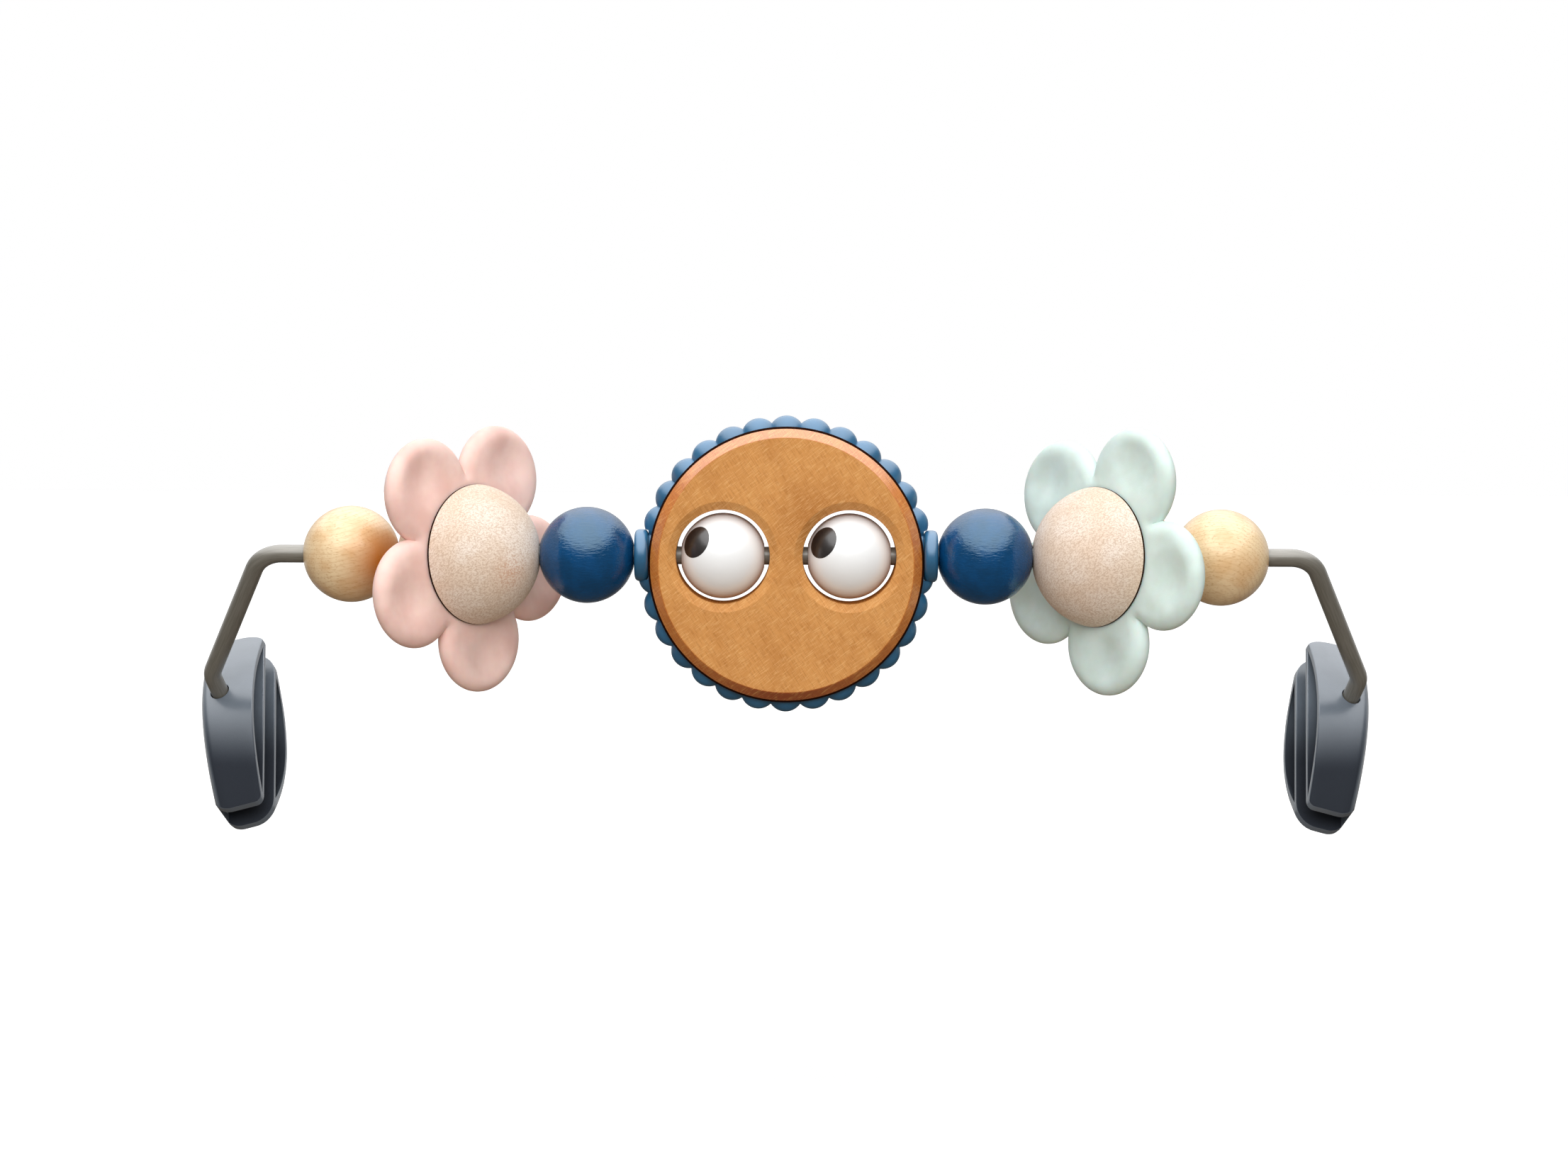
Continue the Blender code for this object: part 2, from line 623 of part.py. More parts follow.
def make_washers(spring_steel):
    near = CLIP_WALL + WASHER_ROOM
    far = near + WASHER_THICKNESS
    inside = ROD_RADIUS + GAP
    outside = WASHER_DIAMETER / 2
    for side, sign in SIDES.items():
        mesh = turned([(near, inside), (near, outside), (far, outside), (far, inside)], HOLE_SIDES)
        aim = stub_direction(sign).to_track_quat("X", "Z").to_euler()
        placed(f"{side}_rod_washer", mesh, [spring_steel], None, hole_place(sign), aim)


def bend(corner, before, after, radius):
    """Points round a bend that replaces a corner between two straight runs."""
    back = (before - corner).normalized()
    ahead = (after - corner).normalized()
    half_angle = back.angle(ahead) / 2
    to_centre = (back + ahead).normalized() * (radius / math.sin(half_angle))
    centre = corner + to_centre
    start = (corner + back * (radius / math.tan(half_angle)) - centre).normalized()
    end = (corner + ahead * (radius / math.tan(half_angle)) - centre).normalized()
    return [centre + start.slerp(end, i / BEND_STEPS) * radius for i in range(BEND_STEPS + 1)]


def make_rod(steel):
    tip_depth = CLIP_WALL + WASHER_ROOM + WASHER_THICKNESS + ROD_END_PROUD
    route = []
    for sign in (-1, 1):
        hole = hole_place(sign)
        stub = stub_direction(sign)
        tip = hole + stub * tip_depth
        elbow = hole - stub * STUB_LENGTH
        corner = BAR + Vector((sign * CORNER_PLACE, 0, 0))
        points = [tip]
        points += bend(elbow, tip, corner, STUB_BEND_RADIUS)
        points += bend(corner, elbow, BAR, BAR_BEND_RADIUS)
        route += points if sign < 0 else reversed(points)
    curve = bpy.data.curves.new("wire_rod", "CURVE")
    curve.dimensions = "3D"
    curve.bevel_depth = ROD_RADIUS
    curve.bevel_resolution = ROD_BEVEL_STEPS
    curve.use_fill_caps = True
    spline = curve.splines.new("POLY")
    spline.points.add(len(route) - 1)
    for point, place in zip(spline.points, route):
        point.co = (*place, 1)
    curve.materials.append(steel)
    rod = bpy.data.objects.new("wire_rod", curve)
    bpy.context.scene.collection.objects.link(rod)


def main():
    for old in list(bpy.data.objects):
        bpy.data.objects.remove(old)
    steel = finish("satin_steel", "#96948C", 0.35, 1.0)
    spring_steel = finish("spring_steel", "#A9ABAD", 0.3, 1.0)
    varnished = finish("varnished_wood", "#EBBE82", 0.35)
    blue = finish("blue_lacquer", "#1F5A94", 0.2)
    raw_wood = finish("raw_wood", "#E1CDB4", 0.7)
    pink = finish("pink_soft_plastic", "#F0CFC4", 0.5)
    mint = finish("mint_soft_plastic", "#CDE4DC", 0.5)
    stained_wood = finish("stained_wood", "#C88C50", 0.5)
    soft_blue = finish("blue_soft_plastic", "#5E8FC0", 0.55)
    white_gloss = finish("white_enamel", "#F6F4F1", 0.15)
    dark_gloss = finish("dark_enamel", "#2D2626", 0.15)
    clip_plastic = finish("grey_plastic", "#646C76", 0.45)

    bar_axis = empty("bar_axis", BAR)
    face_turn = empty("face_turn", (0, 0, 0), parent=bar_axis)
    make_rod(steel)
    make_washers(spring_steel)
    make_clips(clip_plastic)
    make_beads(bar_axis, blue, varnished)
    make_flowers(bar_axis, raw_wood, pink, mint)
    make_face_disc(face_turn, stained_wood)
    make_scalloped_ring(face_turn, soft_blue)
    make_collars(face_turn, soft_blue)
    make_eyes(bar_axis, white_gloss, dark_gloss)


if __name__ == "__main__":
    main()
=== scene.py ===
"""Looks of a toy bar for a baby bouncer.

It has a bent steel rod, wooden beads, two petal flowers, a round face with two eyes, and two seat clips.
Every piece is a fine mesh that rides on one body of the frame. Each stands for one CAD node, but for the
print of the two pupils. Places come from the frame's joints and from the clips' span. Sizes are the real
object's, in metres.
"""

from __future__ import annotations

import json
import logging
import math
from dataclasses import dataclass, field
from enum import Enum
from typing import Any, Callable, Sequence

import bmesh
import bpy
from mathutils import Matrix, Vector

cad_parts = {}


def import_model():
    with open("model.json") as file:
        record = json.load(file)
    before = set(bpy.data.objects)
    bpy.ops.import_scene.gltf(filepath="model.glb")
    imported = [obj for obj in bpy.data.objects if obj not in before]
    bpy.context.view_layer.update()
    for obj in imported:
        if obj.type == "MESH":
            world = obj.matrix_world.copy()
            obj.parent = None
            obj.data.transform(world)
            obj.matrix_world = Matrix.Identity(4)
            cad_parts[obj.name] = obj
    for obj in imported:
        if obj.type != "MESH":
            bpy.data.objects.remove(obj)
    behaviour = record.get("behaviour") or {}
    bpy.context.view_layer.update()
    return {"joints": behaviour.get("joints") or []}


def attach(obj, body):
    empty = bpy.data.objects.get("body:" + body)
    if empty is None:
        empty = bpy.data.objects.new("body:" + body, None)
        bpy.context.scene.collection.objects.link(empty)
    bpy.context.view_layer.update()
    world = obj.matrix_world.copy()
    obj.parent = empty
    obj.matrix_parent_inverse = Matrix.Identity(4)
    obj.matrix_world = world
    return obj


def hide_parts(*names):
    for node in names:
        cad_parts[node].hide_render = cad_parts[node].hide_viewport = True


LOG = logging.getLogger("toy_bar")

MM = 0.001
PHOTO_WIDTH_PX = 2212
# Points of a turned piece that are closer together than this are one
SAME_POINT = 0.0005 * MM
# The least angle of a sharp edge, in degrees, on pieces with an eased hole
BORE_EDGE_ANGLE = 50.0
X_TO_Y = Matrix.Rotation(math.pi / 2, 4, "Z")
FLAT_FACE_WEIGHT = 80
# Octaves of noise in the finest grains
FINE_DETAIL = 4.0
# A rounded corner takes a little less than half of each side
LARGEST_CORNER_SHARE = 0.49

Point = tuple[float, float]
Point3 = tuple[float, float, float]
Tree = bpy.types.NodeTree
Node = bpy.types.Node
Socket = bpy.types.NodeSocket
Shape = bmesh.types.BMesh
Thing = bpy.types.Object


class Side(Enum):
    """The two ends of the bar, as seen by whoever looks at the face."""

    LEFT = -1
    RIGHT = 1

    @property
    def word(self) -> str:
        """The side's name as the nodes' names have it."""
        return self.name.lower()


class Shading(Enum):
    """How a piece's normals are made."""

    ROUND = "smooth all over, split at sharp edges"
    FLAT_FACED = "smooth, with the large flat faces kept flat"


# Colour and nodes


def linear_colour(hex_colour: str) -> tuple[float, float, float, float]:
    """Turns an sRGB hex colour into linear RGBA.

    Args:
        hex_colour: The colour, such as "#1F5A94".

    Returns:
        Linear red, green, blue and an alpha of one.
    """
    channels = [int(hex_colour[i : i + 2], 16) / 255 for i in (1, 3, 5)]
    red, green, blue = [c / 12.92 if c <= 0.04045 else ((c + 0.055) / 1.055) ** 2.4 for c in channels]
    return red, green, blue, 1.0


def set_inputs(tree: Tree, node: Node, inputs: dict[Any, Any]) -> None:
    """Gives a node's inputs their values and links.

    Args:
        tree: The node tree.
        node: The node.
        inputs: By name or index: a value, a socket to link, or a node to link by its first output.
    """
    for key, source in inputs.items():
        if isinstance(source, bpy.types.Node):
            source = source.outputs[0]
        if isinstance(source, bpy.types.NodeSocket):
            tree.links.new(source, node.inputs[key])
        else:
            node.inputs[key].default_value = source


def add_node(tree: Tree, kind: str, inputs: dict[Any, Any] | None = None, **settings: Any) -> Node:
    """Adds a node with its settings, input values and links.

    Args:
        tree: The node tree to add to.
        kind: The node's type, such as "ShaderNodeTexNoise".
        inputs: Values, sockets or nodes, by input name or index.
        **settings: The node's own properties.

    Returns:
        The new node.
    """
    node = tree.nodes.new(kind)
    for name, value in settings.items():
        setattr(node, name, value)
    set_inputs(tree, node, inputs or {})
    return node


def blend_colours(tree: Tree, pattern: Any, first: Any, second: Any, share: float = 1.0) -> Socket:
    """Mixes two colours by a pattern.

    Args:
        tree: The material's node tree.
        pattern: A socket or node that is 0 for the first colour and 1 for the second.
        first: A hex colour or a colour socket.
        second: A hex colour or a colour socket.
        share: How much of the second colour the pattern brings at most.

    Returns:
        The mixed colour's socket.
    """
    if share < 1:
        pattern = add_node(tree, "ShaderNodeMath", {0: pattern, 1: share}, operation="MULTIPLY")
    first, second = [linear_colour(c) if isinstance(c, str) else c for c in (first, second)]
    return add_node(tree, "ShaderNodeMix", {0: pattern, 6: first, 7: second}, data_type="RGBA").outputs[2]


def fibres(
    tree: Tree,
    place: Socket,
    grain: float | Point3,
    contrast: Point = (0.3, 0.7),
    turn: Point3 = (0.0, 0.0, 0.0),
    detail: float = 3.0,
) -> Socket:
    """A noise pattern stretched to the size of wood fibres, flecks or clouds.

    Args:
        tree: The material's node tree.
        place: Coordinates on the piece, in metres.
        grain: The pattern's size, the same each way or along X, Y and Z.
        contrast: The noise values that become 0 and 1.
        turn: How the pattern is turned, in radians.
        detail: How many finer octaves the noise has.

    Returns:
        The pattern's socket, from 0 to 1.
    """
    size = grain if isinstance(grain, tuple) else (grain,) * 3
    turned = add_node(tree, "ShaderNodeMapping", {"Vector": place, "Rotation": turn}, vector_type="TEXTURE")
    scaled = add_node(tree, "ShaderNodeMapping", {"Vector": turned, "Scale": size}, vector_type="TEXTURE")
    noise = add_node(tree, "ShaderNodeTexNoise", {"Vector": scaled, "Scale": 1.0, "Detail": detail})
    ramp = {"Value": noise, "From Min": contrast[0], "From Max": contrast[1]}
    return add_node(tree, "ShaderNodeMapRange", ramp, interpolation_type="SMOOTHSTEP").outputs[0]


def patch(tree: Tree, place: Socket, middle: Point3, reach: float, share: float = 1.0) -> Socket:
    """A soft round patch on a piece.

    Args:
        tree: The material's node tree.
        place: Coordinates on the piece, in metres.
        middle: The patch's middle.
        reach: Its radius, where it has faded out.
        share: Its value in the middle.

    Returns:
        The pattern's socket, from 0 to the share.
    """
    apart = add_node(tree, "ShaderNodeVectorMath", {0: place, 1: middle}, operation="DISTANCE")
    ramp = {"Value": apart.outputs["Value"], "From Min": reach, "From Max": 0.0, "To Max": share}
    return add_node(tree, "ShaderNodeMapRange", ramp, interpolation_type="SMOOTHSTEP").outputs[0]


def relief(tree: Tree, height: Any, depth: float, strength: float = 1.0) -> Socket:
    """Bumps the surface by a pattern.

    Args:
        tree: The material's node tree.
        height: The pattern, from 0 to 1.
        depth: The height of a full step, in metres.
        strength: The share of the bump that is used.

    Returns:
        The normal's socket.
    """
    bump = {"Height": height, "Strength": strength, "Distance": depth}
    return add_node(tree, "ShaderNodeBump", bump).outputs[0]


# Finishes


@dataclass(frozen=True)
class Finish:
    """A surface as it was made. Each kind of finish adds its own pattern."""

    name: str
    colour: str
    roughness: float
    metallic: float = 0.0
    ior: float = 1.5
    specular: float = 0.5
    coat: float = 0.0
    coat_roughness: float = 0.1
    coat_ior: float = 1.5
    gloss_tint: str = "#FFFFFF"
    coordinates: str = "Object"

    def material(self) -> bpy.types.Material:
        """The finish's material, made when it is first asked for."""
        found = bpy.data.materials.get(self.name)
        if found:
            return found
        material = bpy.data.materials.new(self.name)
        material.use_nodes = True
        tree = material.node_tree
        shader = tree.nodes["Principled BSDF"]
        plain = {
            "Base Color": linear_colour(self.colour),
            "Roughness": self.roughness,
            "Metallic": self.metallic,
            "IOR": self.ior,
            "Specular IOR Level": self.specular,
            "Coat Weight": self.coat,
            "Coat Roughness": self.coat_roughness,
            "Coat IOR": self.coat_ior,
            "Specular Tint": linear_colour(self.gloss_tint),
        }
        set_inputs(tree, shader, plain)
        place = add_node(tree, "ShaderNodeTexCoord").outputs[self.coordinates]
        set_inputs(tree, shader, self.pattern(tree, place))
        return material

    def pattern(self, tree: Tree, place: Socket) -> dict[str, Any]:
        """Makes the finish's pattern. The plain finish has none.

        Args:
            tree: The material's node tree.
            place: Coordinates on the piece, in metres.

        Returns:
            What the pattern gives the shader, by input name.
        """
        return {}


@dataclass(frozen=True)
class SatinSteel(Finish):
    """Drawn steel wire, bright or under satin lacquer: soft streaks along it and a faint dull patchiness."""

    streak: str = "#8A857A"
    streak_size: Point3 = (9.0 * MM, 0.5 * MM, 0.5 * MM)
    streak_contrast: Point = (0.35, 0.7)
    streak_depth: float = 0.01 * MM
    patch_size: float = 7.0 * MM
    patch_roughness: Point = (-0.05, 0.07)

    def pattern(self, tree: Tree, place: Socket) -> dict[str, Any]:
        """Drawing streaks in the colour, and patches in the roughness."""
        streaks = fibres(tree, place, self.streak_size, self.streak_contrast)
        low, high = [self.roughness + change for change in self.patch_roughness]
        ramp = {"Value": fibres(tree, place, self.patch_size), "To Min": low, "To Max": high}
        return {
            "Base Color": blend_colours(tree, streaks, self.colour, self.streak),
            "Roughness": add_node(tree, "ShaderNodeMapRange", ramp),
            "Normal": relief(tree, streaks, self.streak_depth),
        }


@dataclass(frozen=True)
class VarnishedBeech(Finish):
    """Turned beech under clear varnish: faint growth rings, short pores, painted shade in darker orange on
    one side, a warm gleam.
    """

    dark: str = "#CF9552"
    line: str = "#B87F45"
    # Painted shade: a darker orange on one side of the bead
    heart: str = "#B36304"
    cloud_size: float = 9.0 * MM
    cloud_contrast: Point = (0.35, 0.7)
    cloud_share: float = 0.45
    heart_place: Point3 = (12.0 * MM, -11.0 * MM, -2.5 * MM)
    heart_reach: float = 18.0 * MM
    ring_spacing: float = 1.5 * MM
    ring_start_share: float = 0.6
    ring_share: float = 0.14
    ring_middle: Point3 = (-7.0 * MM, 0.0, 33.0 * MM)
    ring_waviness: float = 4.0
    ring_wave_scale: float = 0.4
    ring_tilt: Point3 = (0.1, 0.0, 0.15)
    pore_size: Point3 = (1.7 * MM, 0.42 * MM, 0.42 * MM)
    pore_contrast: Point = (0.52, 0.72)
    pore_share: float = 0.5
    pore_depth: float = 0.02 * MM
    pore_strength: float = 0.6

    def rings(self, tree: Tree, place: Socket) -> Node:
        """Thin growth rings about an axis outside the bead.

        Args:
            tree: The material's node tree.
            place: Coordinates on the piece, in metres.

        Returns:
            The pattern's node, from 0 to the rings' share.
        """
        away = [-along for along in self.ring_middle]
        moved = {"Vector": place, "Location": away, "Rotation": self.ring_tilt}
        wave = {
            "Vector": add_node(tree, "ShaderNodeMapping", moved),
            # A wave's period is a tenth of pi over its scale
            "Scale": math.pi / 10 / self.ring_spacing,
            "Distortion": self.ring_waviness,
            "Detail": 3.0,
            "Detail Scale": self.ring_wave_scale,
        }
        waves = add_node(tree, "ShaderNodeTexWave", wave, wave_type="RINGS", rings_direction="Y")
        ramp = {"Value": waves.outputs["Fac"], "From Min": self.ring_start_share, "To Max": self.ring_share}
        return add_node(tree, "ShaderNodeMapRange", ramp)

    def pattern(self, tree: Tree, place: Socket) -> dict[str, Any]:
        """Clouds, painted shade on one side, growth rings and pores."""
        clouds = fibres(tree, place, self.cloud_size, self.cloud_contrast)
        colour = blend_colours(tree, clouds, self.colour, self.dark, self.cloud_share)
        # Painted shade, darker orange towards one side
        heart = patch(tree, place, self.heart_place, self.heart_reach)
        colour = blend_colours(tree, heart, colour, self.heart)
        colour = blend_colours(tree, self.rings(tree, place), colour, self.line)
        pores = fibres(tree, place, self.pore_size, self.pore_contrast)
        colour = blend_colours(tree, pores, colour, self.line, self.pore_share)
        return {"Base Color": colour, "Normal": relief(tree, pores, self.pore_depth, self.pore_strength)}


@dataclass(frozen=True)
class LacqueredBeech(Finish):
    """Opaque gloss lacquer over beech: the grain shows through and ruffles the edge of each reflection."""

    shade: str = "#0B3E68"
    cloud_size: float = 6.0 * MM
    cloud_contrast: Point = (0.35, 0.65)
    grain_size: Point3 = (2.6 * MM, 0.8 * MM, 0.6 * MM)
    grain_contrast: Point = (0.25, 0.75)
    grain_depth: float = 0.055 * MM

    def pattern(self, tree: Tree, place: Socket) -> dict[str, Any]:
        """A slight change of depth in the colour, and the ruffled surface."""
        clouds = fibres(tree, place, self.cloud_size, self.cloud_contrast)
        grain = fibres(tree, place, self.grain_size, self.grain_contrast, detail=FINE_DETAIL)
        return {
            "Base Color": blend_colours(tree, clouds, self.colour, self.shade),
            "Normal": relief(tree, grain, self.grain_depth),
        }


@dataclass(frozen=True)
class SandedBirch(Finish):
    """Raw birch, sanded and untreated: pale and dull, with fine flecks each way and one warm stain."""

    pale: str = "#F0E4D8"
    fleck: str = "#B89474"
    stain: str = "#D69B7C"
    cloud_size: float = 14.0 * MM
    fleck_size: Point3 = (1.1 * MM, 0.42 * MM, 0.42 * MM)
    fleck_contrast: Point = (0.46, 0.66)
    fleck_turns: tuple[Point3, Point3] = ((0.3, 0.2, 0.5), (0.9, -0.7, -0.6))
    fleck_share: float = 0.55
    fleck_depth: float = 0.03 * MM
    fleck_strength: float = 0.5
    stain_place: Point3 = (15.0 * MM, -17.0 * MM, -5.0 * MM)
    stain_reach: float = 9.0 * MM
    stain_share: float = 0.6

    def pattern(self, tree: Tree, place: Socket) -> dict[str, Any]:
        """Clouds, two directions of flecks, and the stain."""
        clouds = fibres(tree, place, self.cloud_size)
        colour = blend_colours(tree, clouds, self.colour, self.pale)
        size, contrast = self.fleck_size, self.fleck_contrast
        ways = [fibres(tree, place, size, contrast, turn, FINE_DETAIL) for turn in self.fleck_turns]
        flecks = add_node(tree, "ShaderNodeMath", dict(enumerate(ways)), operation="MAXIMUM")
        colour = blend_colours(tree, flecks, colour, self.fleck, self.fleck_share)
        near = patch(tree, place, self.stain_place, self.stain_reach, self.stain_share)
        darkened = add_node(tree, "ShaderNodeMath", {0: near, 1: flecks}, operation="MULTIPLY")
        colour = blend_colours(tree, darkened, colour, self.stain)
        return {"Base Color": colour, "Normal": relief(tree, flecks, self.fleck_depth, self.fleck_strength)}


@dataclass(frozen=True)
class StainedBeech(Finish):
    """Amber-stained beech, sanded flat: slanting fibres, finer marks across them, and soft darker clouds."""

    dark: str = "#9C5C22"
    pale: str = "#E3B478"
    cloud_size: Point3 = (9.0 * MM, 16.0 * MM, 20.0 * MM)
    cloud_contrast: Point = (0.35, 0.72)
    cloud_share: float = 0.3
    patch_place: Point3 = (7.0 * MM, -9.0 * MM, 17.0 * MM)
    patch_reach: float = 15.0 * MM
    patch_share: float = 0.4
    fibre_size: Point3 = (0.34 * MM, 4.5 * MM, 4.5 * MM)
    fibre_contrast: Point = (0.46, 0.68)
    fibre_lean: float = math.radians(33.0)
    fibre_share: float = 0.42
    fibre_depth: float = 0.02 * MM
    fibre_strength: float = 0.6
    scratch_size: Point3 = (0.32 * MM, 3.2 * MM, 3.2 * MM)
    scratch_contrast: Point = (0.48, 0.7)
    scratch_lean: float = math.radians(-52.0)
    scratch_share: float = 0.5

    def pattern(self, tree: Tree, place: Socket) -> dict[str, Any]:
        """Clouds, a dark patch (a stain on the face, painted shade on the lower chamfer), fibres and sanding
        marks.
        """
        lean = (0.0, -self.fibre_lean, 0.0)
        clouds = fibres(tree, place, self.cloud_size, self.cloud_contrast, lean)
        colour = blend_colours(tree, clouds, self.colour, self.dark, self.cloud_share)
        # The patch is a stain in the face's finish and painted shade in the end grain's finish
        dark_patch = patch(tree, place, self.patch_place, self.patch_reach, self.patch_share)
        colour = blend_colours(tree, dark_patch, colour, self.dark)
        along = fibres(tree, place, self.fibre_size, self.fibre_contrast, lean, FINE_DETAIL)
        colour = blend_colours(tree, along, colour, self.dark, self.fibre_share)
        across = (0.0, -self.scratch_lean, 0.0)
        scratches = fibres(tree, place, self.scratch_size, self.scratch_contrast, across, FINE_DETAIL)
        colour = blend_colours(tree, scratches, colour, self.pale, self.scratch_share)
        return {"Base Color": colour, "Normal": relief(tree, along, self.fibre_depth, self.fibre_strength)}


@dataclass(frozen=True)
class SoftMoulding(Finish):
    """Soft moulded elastomer: even, matte, slightly see-through at its edges, with a finely blasted skin."""

    shade: str = "#E8C0B6"
    cloud_size: float = 12.0 * MM
    grit: float = 0.5 * MM
    grit_depth: float = 0.008 * MM
    scatter: float = 0.25
    scatter_depth: float = 1.5 * MM

    def pattern(self, tree: Tree, place: Socket) -> dict[str, Any]:
        """A faint unevenness in the colour, the blasted skin, and light that scatters inside."""
        return {
            "Base Color": blend_colours(tree, fibres(tree, place, self.cloud_size), self.colour, self.shade),
            "Subsurface Weight": self.scatter,
            "Subsurface Scale": self.scatter_depth,
            # The real skin is finer than this, and is drawn as coarse as it needs to show
            "Normal": relief(tree, fibres(tree, place, self.grit), self.grit_depth),
        }


@dataclass(frozen=True)
class Enamel(Finish):
    """Glossy enamel over a turned wooden ball: an even colour with the slight waves that brushing leaves."""

    wave_size: Point3 = (5.0 * MM, 2.5 * MM, 2.5 * MM)
    wave_contrast: Point = (0.2, 0.8)
    wave_depth: float = 0.02 * MM

    def pattern(self, tree: Tree, place: Socket) -> dict[str, Any]:
        """The slight waves."""
        normal = relief(tree, fibres(tree, place, self.wave_size, self.wave_contrast), self.wave_depth)
        return {"Normal": normal, "Coat Normal": normal}


@dataclass(frozen=True)
class MouldedPlastic(Finish):
    """Satin injection-moulded polypropylene: flow clouds, a fine skin, and painted shade on the lower front
    cheek, where the gleam is turned down too.
    """

    shade: str = "#59616B"
    # Painted shade: the lower front cheek, which faces down, is darkened to this colour
    dull: str = "#30343B"
    dull_heights: Point = (2.0 * MM, -24.0 * MM)
    dull_way: Point3 = (0.0, -0.87, 0.5)
    dull_slopes: Point = (0.45, 0.8)
    cloud_size: float = 18.0 * MM
    grit: float = 0.45 * MM
    grit_depth: float = 0.012 * MM

    def dulled(self, tree: Tree, place: Socket) -> Node:
        """Where shade is painted on the lower front cheek, which faces down and forward.

        Args:
            tree: The material's node tree.
            place: Coordinates on the piece, in metres.

        Returns:
            The pattern's node, 1 where the painted shade is darkest.
        """
        height = add_node(tree, "ShaderNodeSeparateXYZ", {0: place}).outputs[2]
        normal = add_node(tree, "ShaderNodeTexCoord").outputs["Normal"]
        ways = {0: normal, 1: self.dull_way}
        facing = add_node(tree, "ShaderNodeVectorMath", ways, operation="DOT_PRODUCT")
        ramp = {"Value": height, "From Min": self.dull_heights[0], "From Max": self.dull_heights[1]}
        lower = add_node(tree, "ShaderNodeMapRange", ramp, interpolation_type="SMOOTHSTEP")
        slight, steep = self.dull_slopes
        ramp = {"Value": facing.outputs["Value"], "From Min": slight, "From Max": steep}
        front = add_node(tree, "ShaderNodeMapRange", ramp)
        return add_node(tree, "ShaderNodeMath", {0: lower, 1: front}, operation="MULTIPLY")

    def pattern(self, tree: Tree, place: Socket) -> dict[str, Any]:
        """Flow clouds, painted shade with less gleam on the lower front, and the mould's skin."""
        colour = blend_colours(tree, fibres(tree, place, self.cloud_size), self.colour, self.shade)
        dulled = self.dulled(tree, place)
        gleams = {
            name: add_node(tree, "ShaderNodeMapRange", {"Value": dulled, "To Min": full, "To Max": 0.0})
            for name, full in (("Coat Weight", self.coat), ("Specular IOR Level", self.specular))
        }
        return gleams | {
            # Painted shade on the lower front cheek
            "Base Color": blend_colours(tree, dulled, colour, self.dull),
            # The real skin is finer than this, and is drawn as coarse as it needs to show
            "Normal": relief(tree, fibres(tree, place, self.grit), self.grit_depth),
        }


ROD_STEEL = SatinSteel(
    "satin grey lacquered steel",
    "#75726A",
    0.4,
    coat=1.0,
    coat_roughness=0.35,
    coordinates="UV",
    streak="#67645B",
)
WASHER_STEEL = SatinSteel("bright spring steel", "#B4B6B8", 0.28, metallic=1.0, streak="#9A9C9E")
OUTER_BEECH = VarnishedBeech(
    "clear varnished beech", "#EFD5AB", 0.4, specular=0.2, coat=0.7, coat_roughness=0.2
)
BLUE_LACQUER = LacqueredBeech("blue lacquered beech", "#0B4576", 0.04, ior=1.6, gloss_tint="#D8F6FF")
RAW_BIRCH = SandedBirch("sanded raw birch", "#E6D2BF", 0.8, specular=0.3)
FACE_BEECH = StainedBeech("amber stained beech", "#CE9252", 0.5, specular=0.3)
FACE_EDGE = StainedBeech(
    "amber stained end grain",
    "#C4762E",
    0.45,
    coat=0.85,
    coat_roughness=0.2,
    coat_ior=1.6,
    dark="#8F3A0E",
    pale="#DBA25A",
    # Painted shade: the dark patch round the disc's bottom darkens the lower chamfer, which faces down
    patch_place=(0.0, -8.0 * MM, -47.0 * MM),
    patch_reach=44.0 * MM,
    patch_share=0.8,
)
HOLE_WALL = StainedBeech("amber stain in the drilled holes", "#BF7A3A", 0.8, specular=0.0)
# Painted shade: the dark line where the disc meets its ring and where a ball meets its petals
PAINTED_GAP_SHADE = Finish("dark stain in the turned edge", "#24110A", 0.8, specular=0.0)
PINK_RUBBER = SoftMoulding("pink thermoplastic elastomer", "#F5D5CB", 0.5, specular=0.35)
MINT_RUBBER = SoftMoulding("mint thermoplastic elastomer", "#DAECE8", 0.5, specular=0.35, shade="#CEDFD8")
BLUE_RUBBER = SoftMoulding(
    "blue thermoplastic elastomer",
    "#2A648A",
    0.4,
    coat=0.75,
    coat_roughness=0.3,
    shade="#24587A",
    scatter=0.0,
)
EYE_ENAMEL = Enamel("white enamelled beech", "#F4F6F7", 0.25, coat=0.5, coat_roughness=0.06)
PUPIL_ENAMEL = Enamel("black pad-printed enamel", "#221E1D", 0.35, coat=0.5, coat_roughness=0.15)
CLIP_PLASTIC = MouldedPlastic(
    "grey moulded polypropylene",
    "#5F6872",
    0.32,
    specular=0.2,
    coat=0.7,
    coat_roughness=0.25,
    shade="#69727C",
)
DISC_FINISHES = (FACE_BEECH, PAINTED_GAP_SHADE, FACE_EDGE, HOLE_WALL)

# How far each flower's petals are turned about its axis, as in the photograph
PINK_TURN = math.radians(63.3)
MINT_TURN = math.radians(59.4)


# Mesh tools


def arc(centre: Point, radius: float, start: float, end: float, steps: int) -> list[Point]:
    """Points of an arc.

    Args:
        centre: The arc's centre.
        radius: Its radius.
        start: The first point's angle, in radians.
        end: The last point's angle.
        steps: How many chords the arc has.

    Returns:
        The points, both ends included.
    """
    angles = [start + (end - start) * i / steps for i in range(steps + 1)]
    return [(centre[0] + radius * math.cos(a), centre[1] + radius * math.sin(a)) for a in angles]


